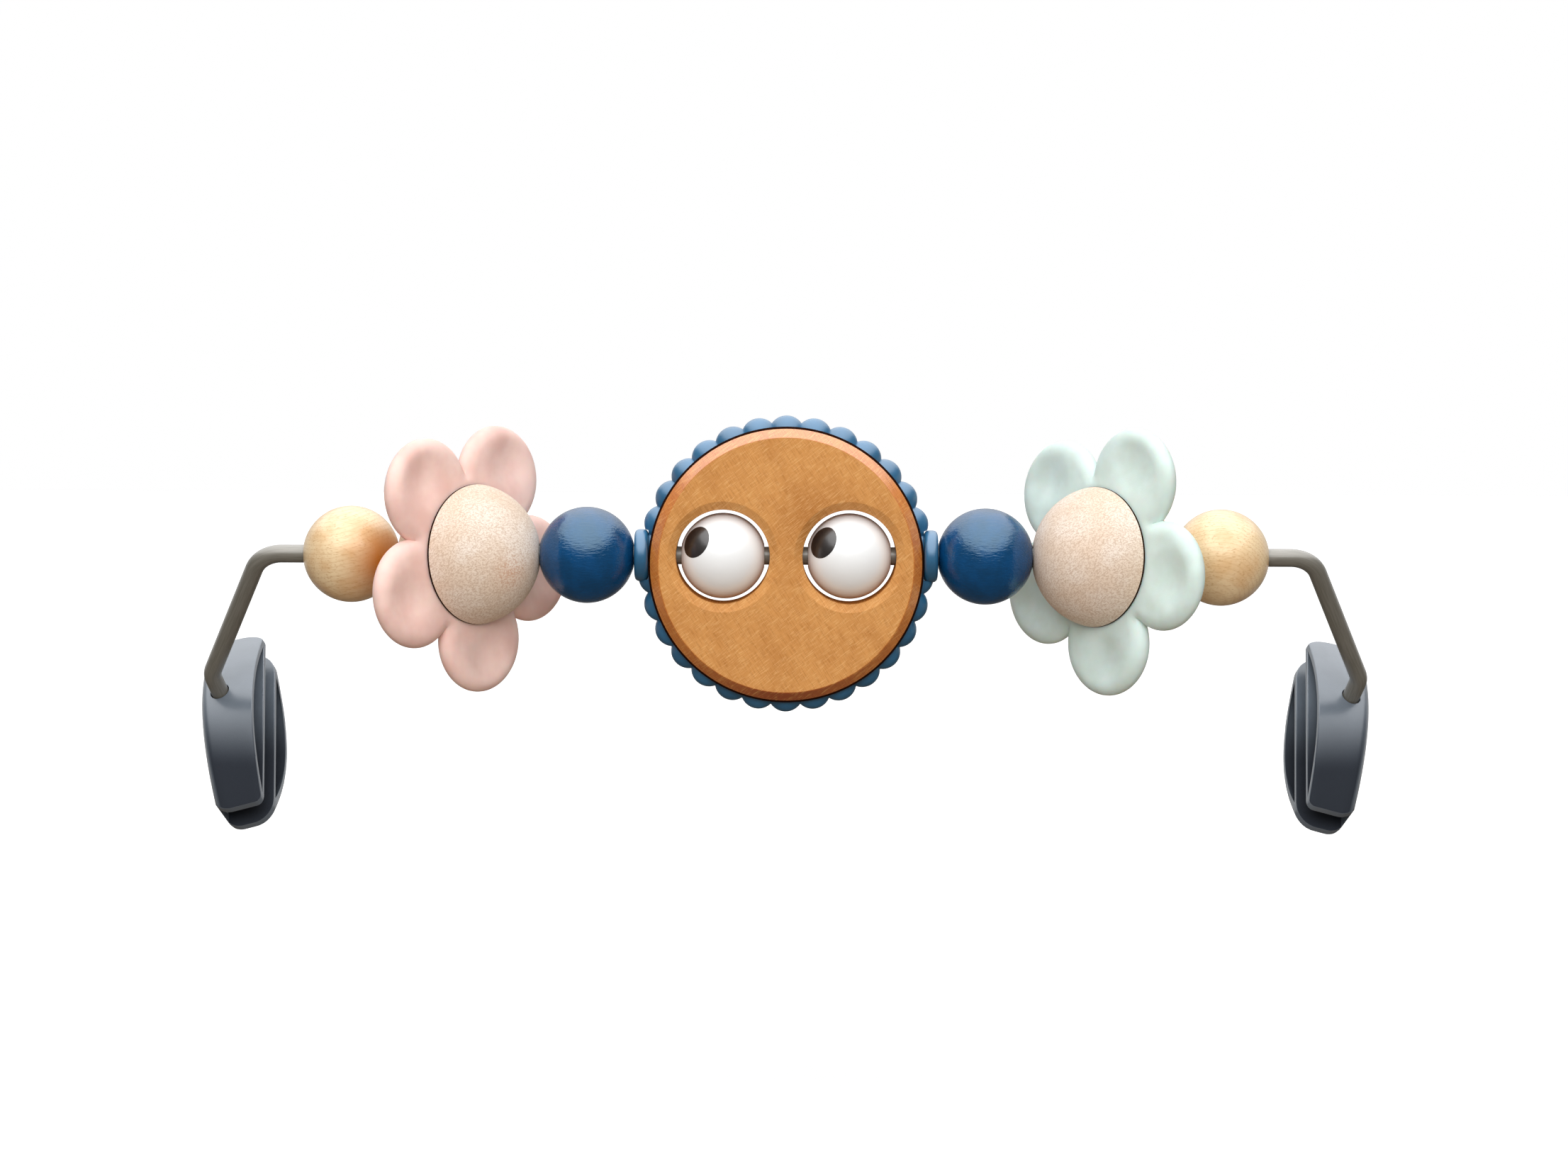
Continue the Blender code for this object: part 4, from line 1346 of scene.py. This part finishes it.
@dataclass
class SeatClip:
    """A moulded clip: a slot for the seat's edge between two bowed, hollow cheeks."""

    side: Side
    span: float = 375.0 * MM
    length: float = 73.5 * MM
    width: float = 21.6 * MM
    taper: float = 3.7 * MM
    wall: float = 2.5 * MM
    back: float = 2.0 * MM
    corner: float = 4.5 * MM
    skin: float = 1.7 * MM
    outer_top: Point = (5.0 * MM, 5.0 * MM)
    outer_bottom: Point = (8.0 * MM, 8.0 * MM)
    front_top: Point = (9.5 * MM, 4.0 * MM)
    front_bottom: Point = (3.0 * MM, 3.0 * MM)
    back_top: Point = (9.0 * MM, 10.5 * MM)
    back_bottom: Point = (8.5 * MM, 8.5 * MM)
    bow: float = 9.0 * MM
    slot: float = 8.0 * MM
    yaw: float = math.radians(12.0)
    lean: float = math.radians(44.2)
    toe: float = math.radians(7.0)
    hole_rise: float = 7.65 * MM
    hole_offset: float = 2.2 * MM
    stub_fall: float = math.radians(47.4)
    stub_turn: float = math.radians(17.0)
    washer_room: float = 1.0 * MM
    edge_rounding: float = 0.3 * MM
    edge_steps: int = 3
    rounded_angle: float = 40.0
    edge_angle: float = 45.0
    meeting_share: float = 0.125
    overrun: float = 5.0 * MM
    bore: Bore = field(default_factory=Bore)
    bow_steps: int = 44
    corner_steps: int = 10
    corner_shares: tuple[float, ...] = (0.35, 0.7, 1.0)
    end_shares: tuple[float, ...] = (0.0, 0.03, 0.07, 0.12, 0.18, 0.25, 0.33, 0.45, 0.6, 0.8, 1.0)

    @property
    def depth(self) -> float:
        """The clip's depth over both flat walls."""
        return self.slot + 2 * self.wall

    @property
    def turn(self) -> Matrix:
        """How the clip is turned: yawed to its side, leant back, and toed in at the bottom."""
        sign = self.side.value
        yaw = Matrix.Rotation(sign * self.yaw, 3, "Z")
        lean = Matrix.Rotation(-self.lean, 3, "X")
        toe = Matrix.Rotation(sign * self.toe, 3, "Y")
        return toe @ lean @ yaw

    @property
    def stub(self) -> Vector:
        """The way the rod's stub goes into the clip."""
        level = math.cos(self.stub_fall)
        sideways = -self.side.value * math.sin(self.stub_turn) * level
        return Vector((sideways, math.cos(self.stub_turn) * level, -math.sin(self.stub_fall)))

    @property
    def hole(self) -> Vector:
        """The middle of the rod's hole, from the slot's middle, before the clip is turned."""
        across = self.width / 2 - self.hole_offset
        low, high = self.ends(across, behind=False)
        share = (self.hole_rise - low) / (high - low)
        return self.point(across, -self.bulge(share), self.hole_rise)

    @property
    def place(self) -> Vector:
        """Where the rod enters the clip, in the frame."""
        return Vector((self.side.value * self.span / 2, 0, 0)) + self.turn @ self.hole

    def point(self, across: float, deep: float, up: float) -> Vector:
        """A point of the clip from its slot's middle.

        Args:
            across: How far in from the clip's outer side.
            deep: How far behind the front flat wall.
            up: How far above the clip's middle.

        Returns:
            The point before the clip is turned.
        """
        lean_in = self.taper * (1 - across / self.width) * (0.5 - up / self.length)
        return Vector((-self.side.value * (across + lean_in - self.width / 2), deep - self.depth / 2, up))

    def placed(self, across: float, outline: Sequence[Point]) -> list[Vector]:
        """An outline of depths and heights at one place across the clip, as points from the rod's hole."""
        return [self.point(across, deep, up) - self.hole for deep, up in outline]

    def drop(self, distance: float, rounding: Point) -> float:
        """How far a corner rounded over a reach and a fall drops, this far from its side."""
        reach, fall = rounding
        share = max(0.0, 1 - distance / reach)
        return fall * (1 - math.sqrt(1 - share**2))

    def ends(self, across: float, behind: bool) -> Point:
        """The lowest and highest places of the front or back cheek, this far in from the outer side."""
        inward = self.width - across
        low = self.drop(across, self.outer_bottom)
        low += self.drop(inward, self.back_bottom if behind else self.front_bottom)
        high = self.drop(across, self.outer_top)
        high += self.drop(inward, self.back_top if behind else self.front_top)
        return low - self.length / 2, self.length / 2 - high

    def stations(self, start: float) -> list[float]:
        """Places across the clip where its outline is drawn, closer together where it is rounded.

        Args:
            start: The first place, from the clip's outer side.

        Returns:
            The places, in order.
        """
        turns = [math.pi / 2 * i / self.corner_steps for i in range(self.corner_steps + 1)]
        outer = [self.corner * (1 - math.cos(turn)) for turn in turns]
        outer += [self.corner + (self.outer_bottom[0] - self.corner) * share for share in self.corner_shares]
        inner = [self.width - self.front_top[0] * share for share in self.end_shares]
        return [start] + sorted(place for place in outer + inner if place > start)

    def bulge(self, share: float) -> float:
        """How far the cheeks stand out, at a share of the clip's length."""
        return self.bow * 4 * share * (1 - share)

    def loop(self, across: float) -> list[Vector]:
        """The clip's outline seen from its side. Its front and back meet within the slot.

        Args:
            across: How far in from the clip's outer side.

        Returns:
            The outline's points, from the hole.
        """
        inset = self.drop(across, (self.corner, self.corner))
        shares = [i / self.bow_steps for i in range(self.bow_steps + 1)]
        meet = self.depth / 2 - self.slot * self.meeting_share
        walls = []
        for behind in (False, True):
            low, high = self.ends(across, behind)
            bowed = [(inset - self.bulge(s), low + (high - low) * s) for s in shares]
            walls.append([(meet, low), *bowed, (meet, high)])
        front, back = walls
        back = [(self.depth - deep, up) for deep, up in reversed(back)]
        return self.placed(across, front + back)

    def pocket(self, behind: bool) -> Thing:
        """The hollow between a cheek and the flat wall beside it.

        Args:
            behind: Whether it is the hollow of the back cheek.

        Returns:
            The cutter.
        """
        start = (1 - math.sqrt(1 - (2 * self.skin - self.wall) / self.bow)) / 2
        shares = [start + (1 - 2 * start) * i / self.bow_steps for i in range(self.bow_steps + 1)]
        loops = []
        for across in self.stations(self.back) + [self.width + self.overrun]:
            low, high = self.ends(min(across, self.width), behind)
            curve = [(self.skin - self.bulge(s), low + (high - low) * s) for s in shares]
            if behind:
                curve = [(self.depth - deep, up) for deep, up in curve]
            loops.append(self.placed(across, curve))
        return self.cutter("pocket", loops)

    def slot_shape(self) -> Thing:
        """The slot for the seat's edge, open at both ends and towards the bar's middle."""
        end = self.length / 2 + self.overrun
        near, far = self.wall, self.wall + self.slot
        corners = [(near, -end), (near, end), (far, end), (far, -end)]
        ends = (self.back, self.width + self.overrun)
        return self.cutter("slot", [self.placed(across, corners) for across in ends])

    def cutter(self, name: str, loops: Sequence[Sequence[Vector]]) -> Thing:
        """A shape to cut from the clip, skinned over its loops."""
        return make_object(name, skinned(loops, joined=False), place=self.place, turn=self.turn)

    def make_body(self) -> Thing:
        """Makes the clip."""
        mesh = skinned([self.loop(across) for across in self.stations(0.0)], joined=False)
        clip = make_object(f"{self.side.word}_clip_moulded", mesh, [CLIP_PLASTIC], self.place, self.turn)
        carve(clip, self.slot_shape())
        carve(clip, self.pocket(behind=False))
        carve(clip, self.pocket(behind=True))
        rounding = clip.modifiers.new("moulded edges", "BEVEL")
        rounding.width = self.edge_rounding
        rounding.segments = self.edge_steps
        rounding.limit_method = "ANGLE"
        rounding.angle_limit = math.radians(self.rounded_angle)
        rounding.use_clamp_overlap = False
        settle(clip)
        inner = self.wall + self.washer_room
        radius = self.bore.radius
        outline = [(-self.overrun, 0), (-self.overrun, radius), (inner, radius), (inner, 0)]
        hole = revolved(outline, self.bore.sides, closed=False)
        carve(clip, make_object("hole", hole, place=self.place, turn=aimed(self.stub)))
        bake_turn(clip)
        shade(clip, Shading.FLAT_FACED, self.edge_angle)
        return clip

    def build(self) -> None:
        """Makes the clip and hangs it on its body."""
        hang(self.make_body(), f"clip_{self.side.word}", f"{self.side.word}_clip")


@dataclass
class BentRod:
    """The bent steel rod and the push-on washers on its two ends."""

    axis: Vector
    last_bead_end: float
    clips: tuple[SeatClip, SeatClip]
    diameter: float = 6.0 * MM
    end_play: float = 4.2 * MM
    bar_bend: float = 10.5 * MM
    stub_bend: float = 8.0 * MM
    stub_length: float = 9.0 * MM
    end_proud: float = 0.8 * MM
    end_easing: float = 0.5 * MM
    end_share: float = 0.3
    gap: float = 0.3 * MM
    washer_diameter: float = 8.2 * MM
    washer_thickness: float = 0.8 * MM
    edge_angle: float = 40.0
    washer_sides: int = 56
    sides: int = 40
    bend_steps: int = 18

    def bend(self, corner: Vector, before: Vector, after: Vector, radius: float) -> list[Vector]:
        """Points round a bend.

        Args:
            corner: Where the two straight runs would meet.
            before: A point on the first run.
            after: A point on the second run.
            radius: The bend's radius.

        Returns:
            The bend's points.
        """
        back = (before - corner).normalized()
        ahead = (after - corner).normalized()
        half = back.angle(ahead) / 2
        centre = corner + (back + ahead).normalized() * (radius / math.sin(half))
        start = (corner + back * (radius / math.tan(half)) - centre).normalized()
        end = (corner + ahead * (radius / math.tan(half)) - centre).normalized()
        steps = self.bend_steps
        return [centre + start.slerp(end, i / steps) * radius for i in range(steps + 1)]

    def route(self) -> list[Vector]:
        """The rod's centre line from its left end to its right end."""
        points: list[Vector] = []
        corner_place = self.last_bead_end + self.end_play + self.bar_bend
        for clip in self.clips:
            depth = clip.wall + clip.washer_room + self.washer_thickness + self.end_proud
            tip = clip.place + clip.stub * depth
            elbow = clip.place - clip.stub * self.stub_length
            corner = Vector((clip.side.value * corner_place, self.axis.y, self.axis.z))
            run = [tip, tip - clip.stub * (self.stub_length / 2)]
            run += self.bend(elbow, tip, corner, self.stub_bend)
            run += self.bend(corner, elbow, self.axis, self.bar_bend)
            points += run if clip.side is Side.LEFT else run[::-1]
        return points

    def make_rod(self) -> Thing:
        """Makes the rod as a tube along its route, with eased ends."""
        points = self.route()
        radius = self.diameter / 2
        ease, small = self.end_easing, self.end_easing * self.end_share
        # How far from the tip each of its rings is, and how much thinner than the rod
        tip = [(0.0, ease), (small, small), (ease, 0.0)]
        rings: list[tuple[Vector, Vector, float]] = []
        for i, point in enumerate(points):
            before = points[max(i - 1, 0)]
            after = points[min(i + 1, len(points) - 1)]
            along = (after - before).normalized()
            if i == 0:
                rings += [(point + along * far, along, radius - thinner) for far, thinner in tip]
            elif i == len(points) - 1:
                rings += [(point - along * far, along, radius - thinner) for far, thinner in reversed(tip)]
            else:
                rings.append((point, along, radius))
        across = rings[0][1].orthogonal().normalized()
        loops = []
        for point, along, reach in rings:
            across = (across - along * across.dot(along)).normalized()
            other = along.cross(across)
            angles = [math.tau * k / self.sides for k in range(self.sides)]
            loops.append([point + (across * math.cos(a) + other * math.sin(a)) * reach for a in angles])
        rod = make_object("steel_rod_bent", skinned(loops, joined=False), [ROD_STEEL])
        self.unroll(rod.data, [ring[0] for ring in rings])
        shade(rod, angle=self.edge_angle)
        return rod

    def unroll(self, data: bpy.types.Mesh, middles: Sequence[Vector]) -> None:
        """Maps the tube in metres, along the wire and round it, so that drawing streaks follow each bend.

        Args:
            data: The rod's mesh, one row of points after another.
            middles: The middle of each row.
        """
        along = [0.0]
        for before, after in zip(middles, middles[1:]):
            along.append(along[-1] + (after - before).length)
        layer = data.uv_layers.new(name="wire")
        facet = math.tau / self.sides * self.diameter / 2
        for polygon in data.polygons:
            rows = [index // self.sides for index in polygon.vertices]
            turns = [index % self.sides for index in polygon.vertices]
            over_seam = max(turns) - min(turns) > 1 and len(turns) == 4
            for loop, row, turn in zip(polygon.loop_indices, rows, turns):
                around = self.sides if over_seam and turn == 0 else turn
                layer.data[loop].uv = (along[row], around * facet)

    def make_washer(self, clip: SeatClip) -> Thing:
        """Makes the washer inside one clip.

        Args:
            clip: The clip whose pocket holds it.

        Returns:
            The washer.
        """
        near = clip.wall + clip.washer_room
        far = near + self.washer_thickness
        inside = self.diameter / 2 + self.gap
        outside = self.washer_diameter / 2
        easing = self.washer_thickness / 4
        corners = [(near, inside), (near, outside), (far, outside), (far, inside)]
        corners = [(*corner, easing) for corner in corners]
        name = f"{clip.side.word}_washer_pressed"
        mesh = revolved(eased(corners, True), self.washer_sides)
        washer = make_object(name, mesh, [WASHER_STEEL], clip.place, aimed(clip.stub))
        shade(washer, angle=self.edge_angle)
        return washer

    def build(self) -> None:
        """Makes the rod and its washers and hangs them on the bar."""
        hang(self.make_rod(), "bar", "wire_rod")
        for clip in self.clips:
            hang(self.make_washer(clip), "bar", f"{clip.side.word}_rod_washer")


@dataclass(frozen=True)
class Softbox:
    """A large soft light that points at the bar: its place, width and height, and its power in watts."""

    name: str
    place: Point3
    size: Point
    power: float

    def add(self, target: Vector) -> None:
        """Adds the light.

        Args:
            target: What it points at.
        """
        data = bpy.data.lights.new(self.name, "AREA")
        data.shape = "RECTANGLE"
        data.size, data.size_y = self.size
        data.energy = self.power
        lamp = bpy.data.objects.new(self.name, data)
        lamp.location = self.place
        # Gloss comes from the world's panel alone
        lamp.visible_glossy = False
        lamp.rotation_euler = (target - Vector(self.place)).to_track_quat("-Z", "Y").to_euler()
        bpy.context.scene.collection.objects.link(lamp)


@dataclass
class Studio:
    """A white studio: pale floor, soft lights, and the camera at the photograph's angle."""

    axis: Vector
    look_down: float = math.radians(4.0)
    roll: float = math.radians(0.25)
    distance: float = 1.2
    scale_per_px: float = 0.235 * MM
    sensor: float = 36.0
    farthest_seen: float = 20.0
    aim_off: Point = (-0.66 * MM, -10.7 * MM)
    softboxes: tuple[Softbox, ...] = (
        Softbox("top_softbox", (-0.05, -0.25, 1.0), (1.3, 0.8), 7.3),
        Softbox("front_softbox", (0.0, -1.5, 0.75), (1.4, 0.9), 18.5),
    )
    floor_drop: float = 180.0 * MM
    floor_size: float = 12.0
    floor_roughness: float = 0.9
    floor_specular: float = 0.1
    floor_white: str = "#B0B0B0"
    floor_bounce: str = "#918476"
    floor_mirror: str = "#55514C"
    # The floor's glow: how far out it gains its full level, and the level near the bar
    seen_reach: Point = (0.2, 1.4)
    seen_level: float = 0.55
    # The same as gloss shows it: how far behind the bar, and the full level
    mirror_reach: Point = (0.3, 2.0)
    mirror_level: float = 0.8
    # The world: a range is of the direction's X, Y or Z, and a level is a strength
    sky_range: Point = (-0.4, 0.9)
    sky_levels: Point = (0.31, 0.42)
    behind_range: Point = (0.3, 0.7)
    behind_level: float = 0.5
    ceiling_middle: Point3 = (0.0, -0.42, 0.907)
    ceiling_levels: Point = (1.1, 4.6)
    lower_edge: Point = (0.16, 0.27)
    lower_edge_bow: float = 0.45
    side_edge: Point = (0.84, 0.76)
    backdrop_level: float = 0.14

    def add_camera(self) -> None:
        """Places the camera and makes it the scene's."""
        tilt = Matrix.Rotation(-self.look_down, 3, "X")
        right, ahead, up = tilt @ Vector((1, 0, 0)), tilt @ Vector((0, 1, 0)), tilt @ Vector((0, 0, 1))
        target = self.axis + right * self.aim_off[0] + up * self.aim_off[1]
        data = bpy.data.cameras.new("photo_camera")
        data.sensor_width = self.sensor
        data.lens = self.sensor * self.distance / (PHOTO_WIDTH_PX * self.scale_per_px)
        data.clip_end = self.farthest_seen
        camera = bpy.data.objects.new("photo_camera", data)
        rolled = Matrix.Rotation(self.roll, 4, "Z")
        look = Matrix((right, up, -ahead)).transposed().to_4x4()
        camera.matrix_world = Matrix.Translation(target - ahead * self.distance) @ look @ rolled
        bpy.context.scene.collection.objects.link(camera)
        bpy.context.scene.camera = camera

    def any_ray(self, tree: Tree, *rays: str) -> Socket:
        """A socket that is one for a ray of any of these kinds, and otherwise zero.

        Args:
            tree: The material's or the world's node tree.
            *rays: Names of the Light Path node's outputs.

        Returns:
            The socket.
        """
        paths = add_node(tree, "ShaderNodeLightPath")
        found = paths.outputs[rays[0]]
        for ray in rays[1:]:
            either = {0: found, 1: paths.outputs[ray]}
            found = add_node(tree, "ShaderNodeMath", either, operation="MAXIMUM").outputs[0]
        return found

    def floor_glow(self, tree: Tree) -> Node:
        """The floor's own light, which makes it white further off.

        Args:
            tree: The floor material's node tree.

        Returns:
            The glow's shader node.
        """
        place = add_node(tree, "ShaderNodeTexCoord").outputs["Object"]
        reach = add_node(tree, "ShaderNodeVectorMath", {0: place}, operation="LENGTH").outputs["Value"]
        behind = add_node(tree, "ShaderNodeSeparateXYZ", {0: place}).outputs[1]
        near, far = self.seen_reach
        ramp = {"Value": reach, "From Min": near, "From Max": far, "To Min": self.seen_level}
        seen = add_node(tree, "ShaderNodeMapRange", ramp, interpolation_type="SMOOTHSTEP")
        near, far = self.mirror_reach
        ramp = {"Value": behind, "From Min": near, "From Max": far, "To Max": self.mirror_level}
        mirrored = add_node(tree, "ShaderNodeMapRange", ramp, interpolation_type="SMOOTHSTEP")
        camera = self.any_ray(tree, "Is Camera Ray")
        strength = add_node(tree, "ShaderNodeMix", {0: camera, 2: mirrored, 3: seen})
        return add_node(tree, "ShaderNodeEmission", {"Color": (1, 1, 1, 1), "Strength": strength})

    def add_floor(self) -> None:
        """Adds the pale floor, which keeps the shadow and shows white further off."""
        mesh = bmesh.new()
        bmesh.ops.create_grid(mesh, x_segments=1, y_segments=1, size=self.floor_size / 2)
        floor = make_object("studio_floor", mesh, place=Vector((0, 0, -self.floor_drop)))
        material = bpy.data.materials.new("white painted floor")
        material.use_nodes = True
        tree = material.node_tree
        shader = tree.nodes["Principled BSDF"]
        # The floor throws little light up at the piece and darkens its gloss, and the camera sees it white
        glossy, camera = self.any_ray(tree, "Is Glossy Ray"), self.any_ray(tree, "Is Camera Ray")
        thrown = blend_colours(tree, glossy, self.floor_bounce, self.floor_mirror)
        paint = blend_colours(tree, camera, thrown, self.floor_white)
        set_inputs(tree, shader, {"Base Color": paint, "Roughness": self.floor_roughness})
        set_inputs(tree, shader, {"Specular IOR Level": self.floor_specular})
        both = add_node(tree, "ShaderNodeAddShader", {0: shader, 1: self.floor_glow(tree)})
        seen = self.any_ray(tree, "Is Glossy Ray", "Is Transmission Ray", "Is Camera Ray")
        pick = add_node(tree, "ShaderNodeMixShader", {0: seen, 1: shader, 2: both})
        set_inputs(tree, tree.nodes["Material Output"], {0: pick})
        floor.data.materials.append(material)

    def ceiling(self, tree: Tree, way: Socket, across: Socket, up: Socket) -> Node:
        """The wide ceiling panel that gloss shows, brightest above the bar's front, between dark sides.

        Args:
            tree: The world's node tree.
            way: The direction looked in.
            across: Its X.
            up: Its Z.

        Returns:
            The panel's strength.
        """
        overhead = {0: way, 1: self.ceiling_middle}
        overhead = add_node(tree, "ShaderNodeVectorMath", overhead, operation="DOT_PRODUCT").outputs["Value"]
        low, high = self.ceiling_levels
        panel = add_node(tree, "ShaderNodeMapRange", {"Value": overhead, "To Min": low, "To Max": high})
        aside = add_node(tree, "ShaderNodeMath", {0: across}, operation="ABSOLUTE")
        squared = add_node(tree, "ShaderNodeMath", {0: aside, 1: 2.0}, operation="POWER")
        bowed = {0: squared, 1: -self.lower_edge_bow, 2: up}
        bowl = add_node(tree, "ShaderNodeMath", bowed, operation="MULTIPLY_ADD")
        for place, (start, end) in ((bowl, self.lower_edge), (aside, self.side_edge)):
            edge = add_node(tree, "ShaderNodeMapRange", {"Value": place, "From Min": start, "From Max": end})
            panel = add_node(tree, "ShaderNodeMath", {0: panel, 1: edge}, operation="MULTIPLY")
        return panel

    def light_world(self) -> None:
        """Makes the surroundings: white where they are seen, and dimmer below than above as light."""
        world = bpy.data.worlds.new("white studio")
        bpy.context.scene.world = world
        world.use_nodes = True
        tree = world.node_tree
        way = add_node(tree, "ShaderNodeTexCoord").outputs["Generated"]
        across, deep, up = add_node(tree, "ShaderNodeSeparateXYZ", {0: way}).outputs
        (start, end), (low, high) = self.sky_range, self.sky_levels
        ramp = {"Value": up, "From Min": start, "From Max": end, "To Min": low, "To Max": high}
        sky = add_node(tree, "ShaderNodeMapRange", ramp)
        start, end = self.behind_range
        ramp = {"Value": deep, "From Min": start, "From Max": end, "To Max": self.behind_level}
        behind = add_node(tree, "ShaderNodeMapRange", ramp, interpolation_type="SMOOTHSTEP")
        around = add_node(tree, "ShaderNodeMath", {0: behind, 1: sky}, operation="ADD")
        backdrop = add_node(tree, "ShaderNodeMath", {0: behind, 1: self.backdrop_level}, operation="ADD")
        shown = {0: self.ceiling(tree, way, across, up), 1: backdrop}
        mirror = add_node(tree, "ShaderNodeMath", shown, operation="MAXIMUM")
        glossy = self.any_ray(tree, "Is Glossy Ray")
        lit = add_node(tree, "ShaderNodeMix", {0: glossy, 2: around, 3: mirror})
        direct = self.any_ray(tree, "Is Camera Ray", "Is Transmission Ray")
        level = add_node(tree, "ShaderNodeMix", {0: direct, 2: lit, 3: 1.0})
        set_inputs(tree, tree.nodes["Background"], {"Color": (1, 1, 1, 1), "Strength": level})

    def build(self) -> None:
        """Sets up the studio."""
        bpy.context.scene.view_settings.view_transform = "Standard"
        self.add_camera()
        self.add_floor()
        self.light_world()
        for softbox in self.softboxes:
            softbox.add(self.axis)


def main() -> None:
    """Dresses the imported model, piece by piece."""
    logging.basicConfig(level=logging.INFO, format="%(message)s")
    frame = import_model()
    places = {joint["child"]: Vector(joint["pos_m"]) for joint in frame["joints"]}
    axis = places["face"]

    Studio(axis).build()
    clips = (SeatClip(Side.LEFT), SeatClip(Side.RIGHT))
    last_bead_end = places["outer_bead_right"].x + Bore().half_length(Bead.diameter, Bead.land)
    BentRod(axis, last_bead_end, clips).build()
    for clip in clips:
        clip.build()
    for side in Side:
        outer, blue = f"outer_bead_{side.word}", f"blue_bead_{side.word}"
        Bead(f"{side.word}_outer_bead", outer, "varnished_wood", OUTER_BEECH, places[outer], side).build()
        Bead(f"{side.word}_blue_bead", blue, "blue_lacquer", BLUE_LACQUER, places[blue], side).build()
        Eye(side, places[f"eye_{side.word}"]).build()
    Flower("pink", Side.LEFT, places["pink_flower"], PINK_RUBBER, PINK_TURN).build()
    Flower("mint", Side.RIGHT, places["mint_flower"], MINT_RUBBER, MINT_TURN).build()
    Face(axis, (places["eye_left"], places["eye_right"])).build()


if __name__ == "__main__":
    main()
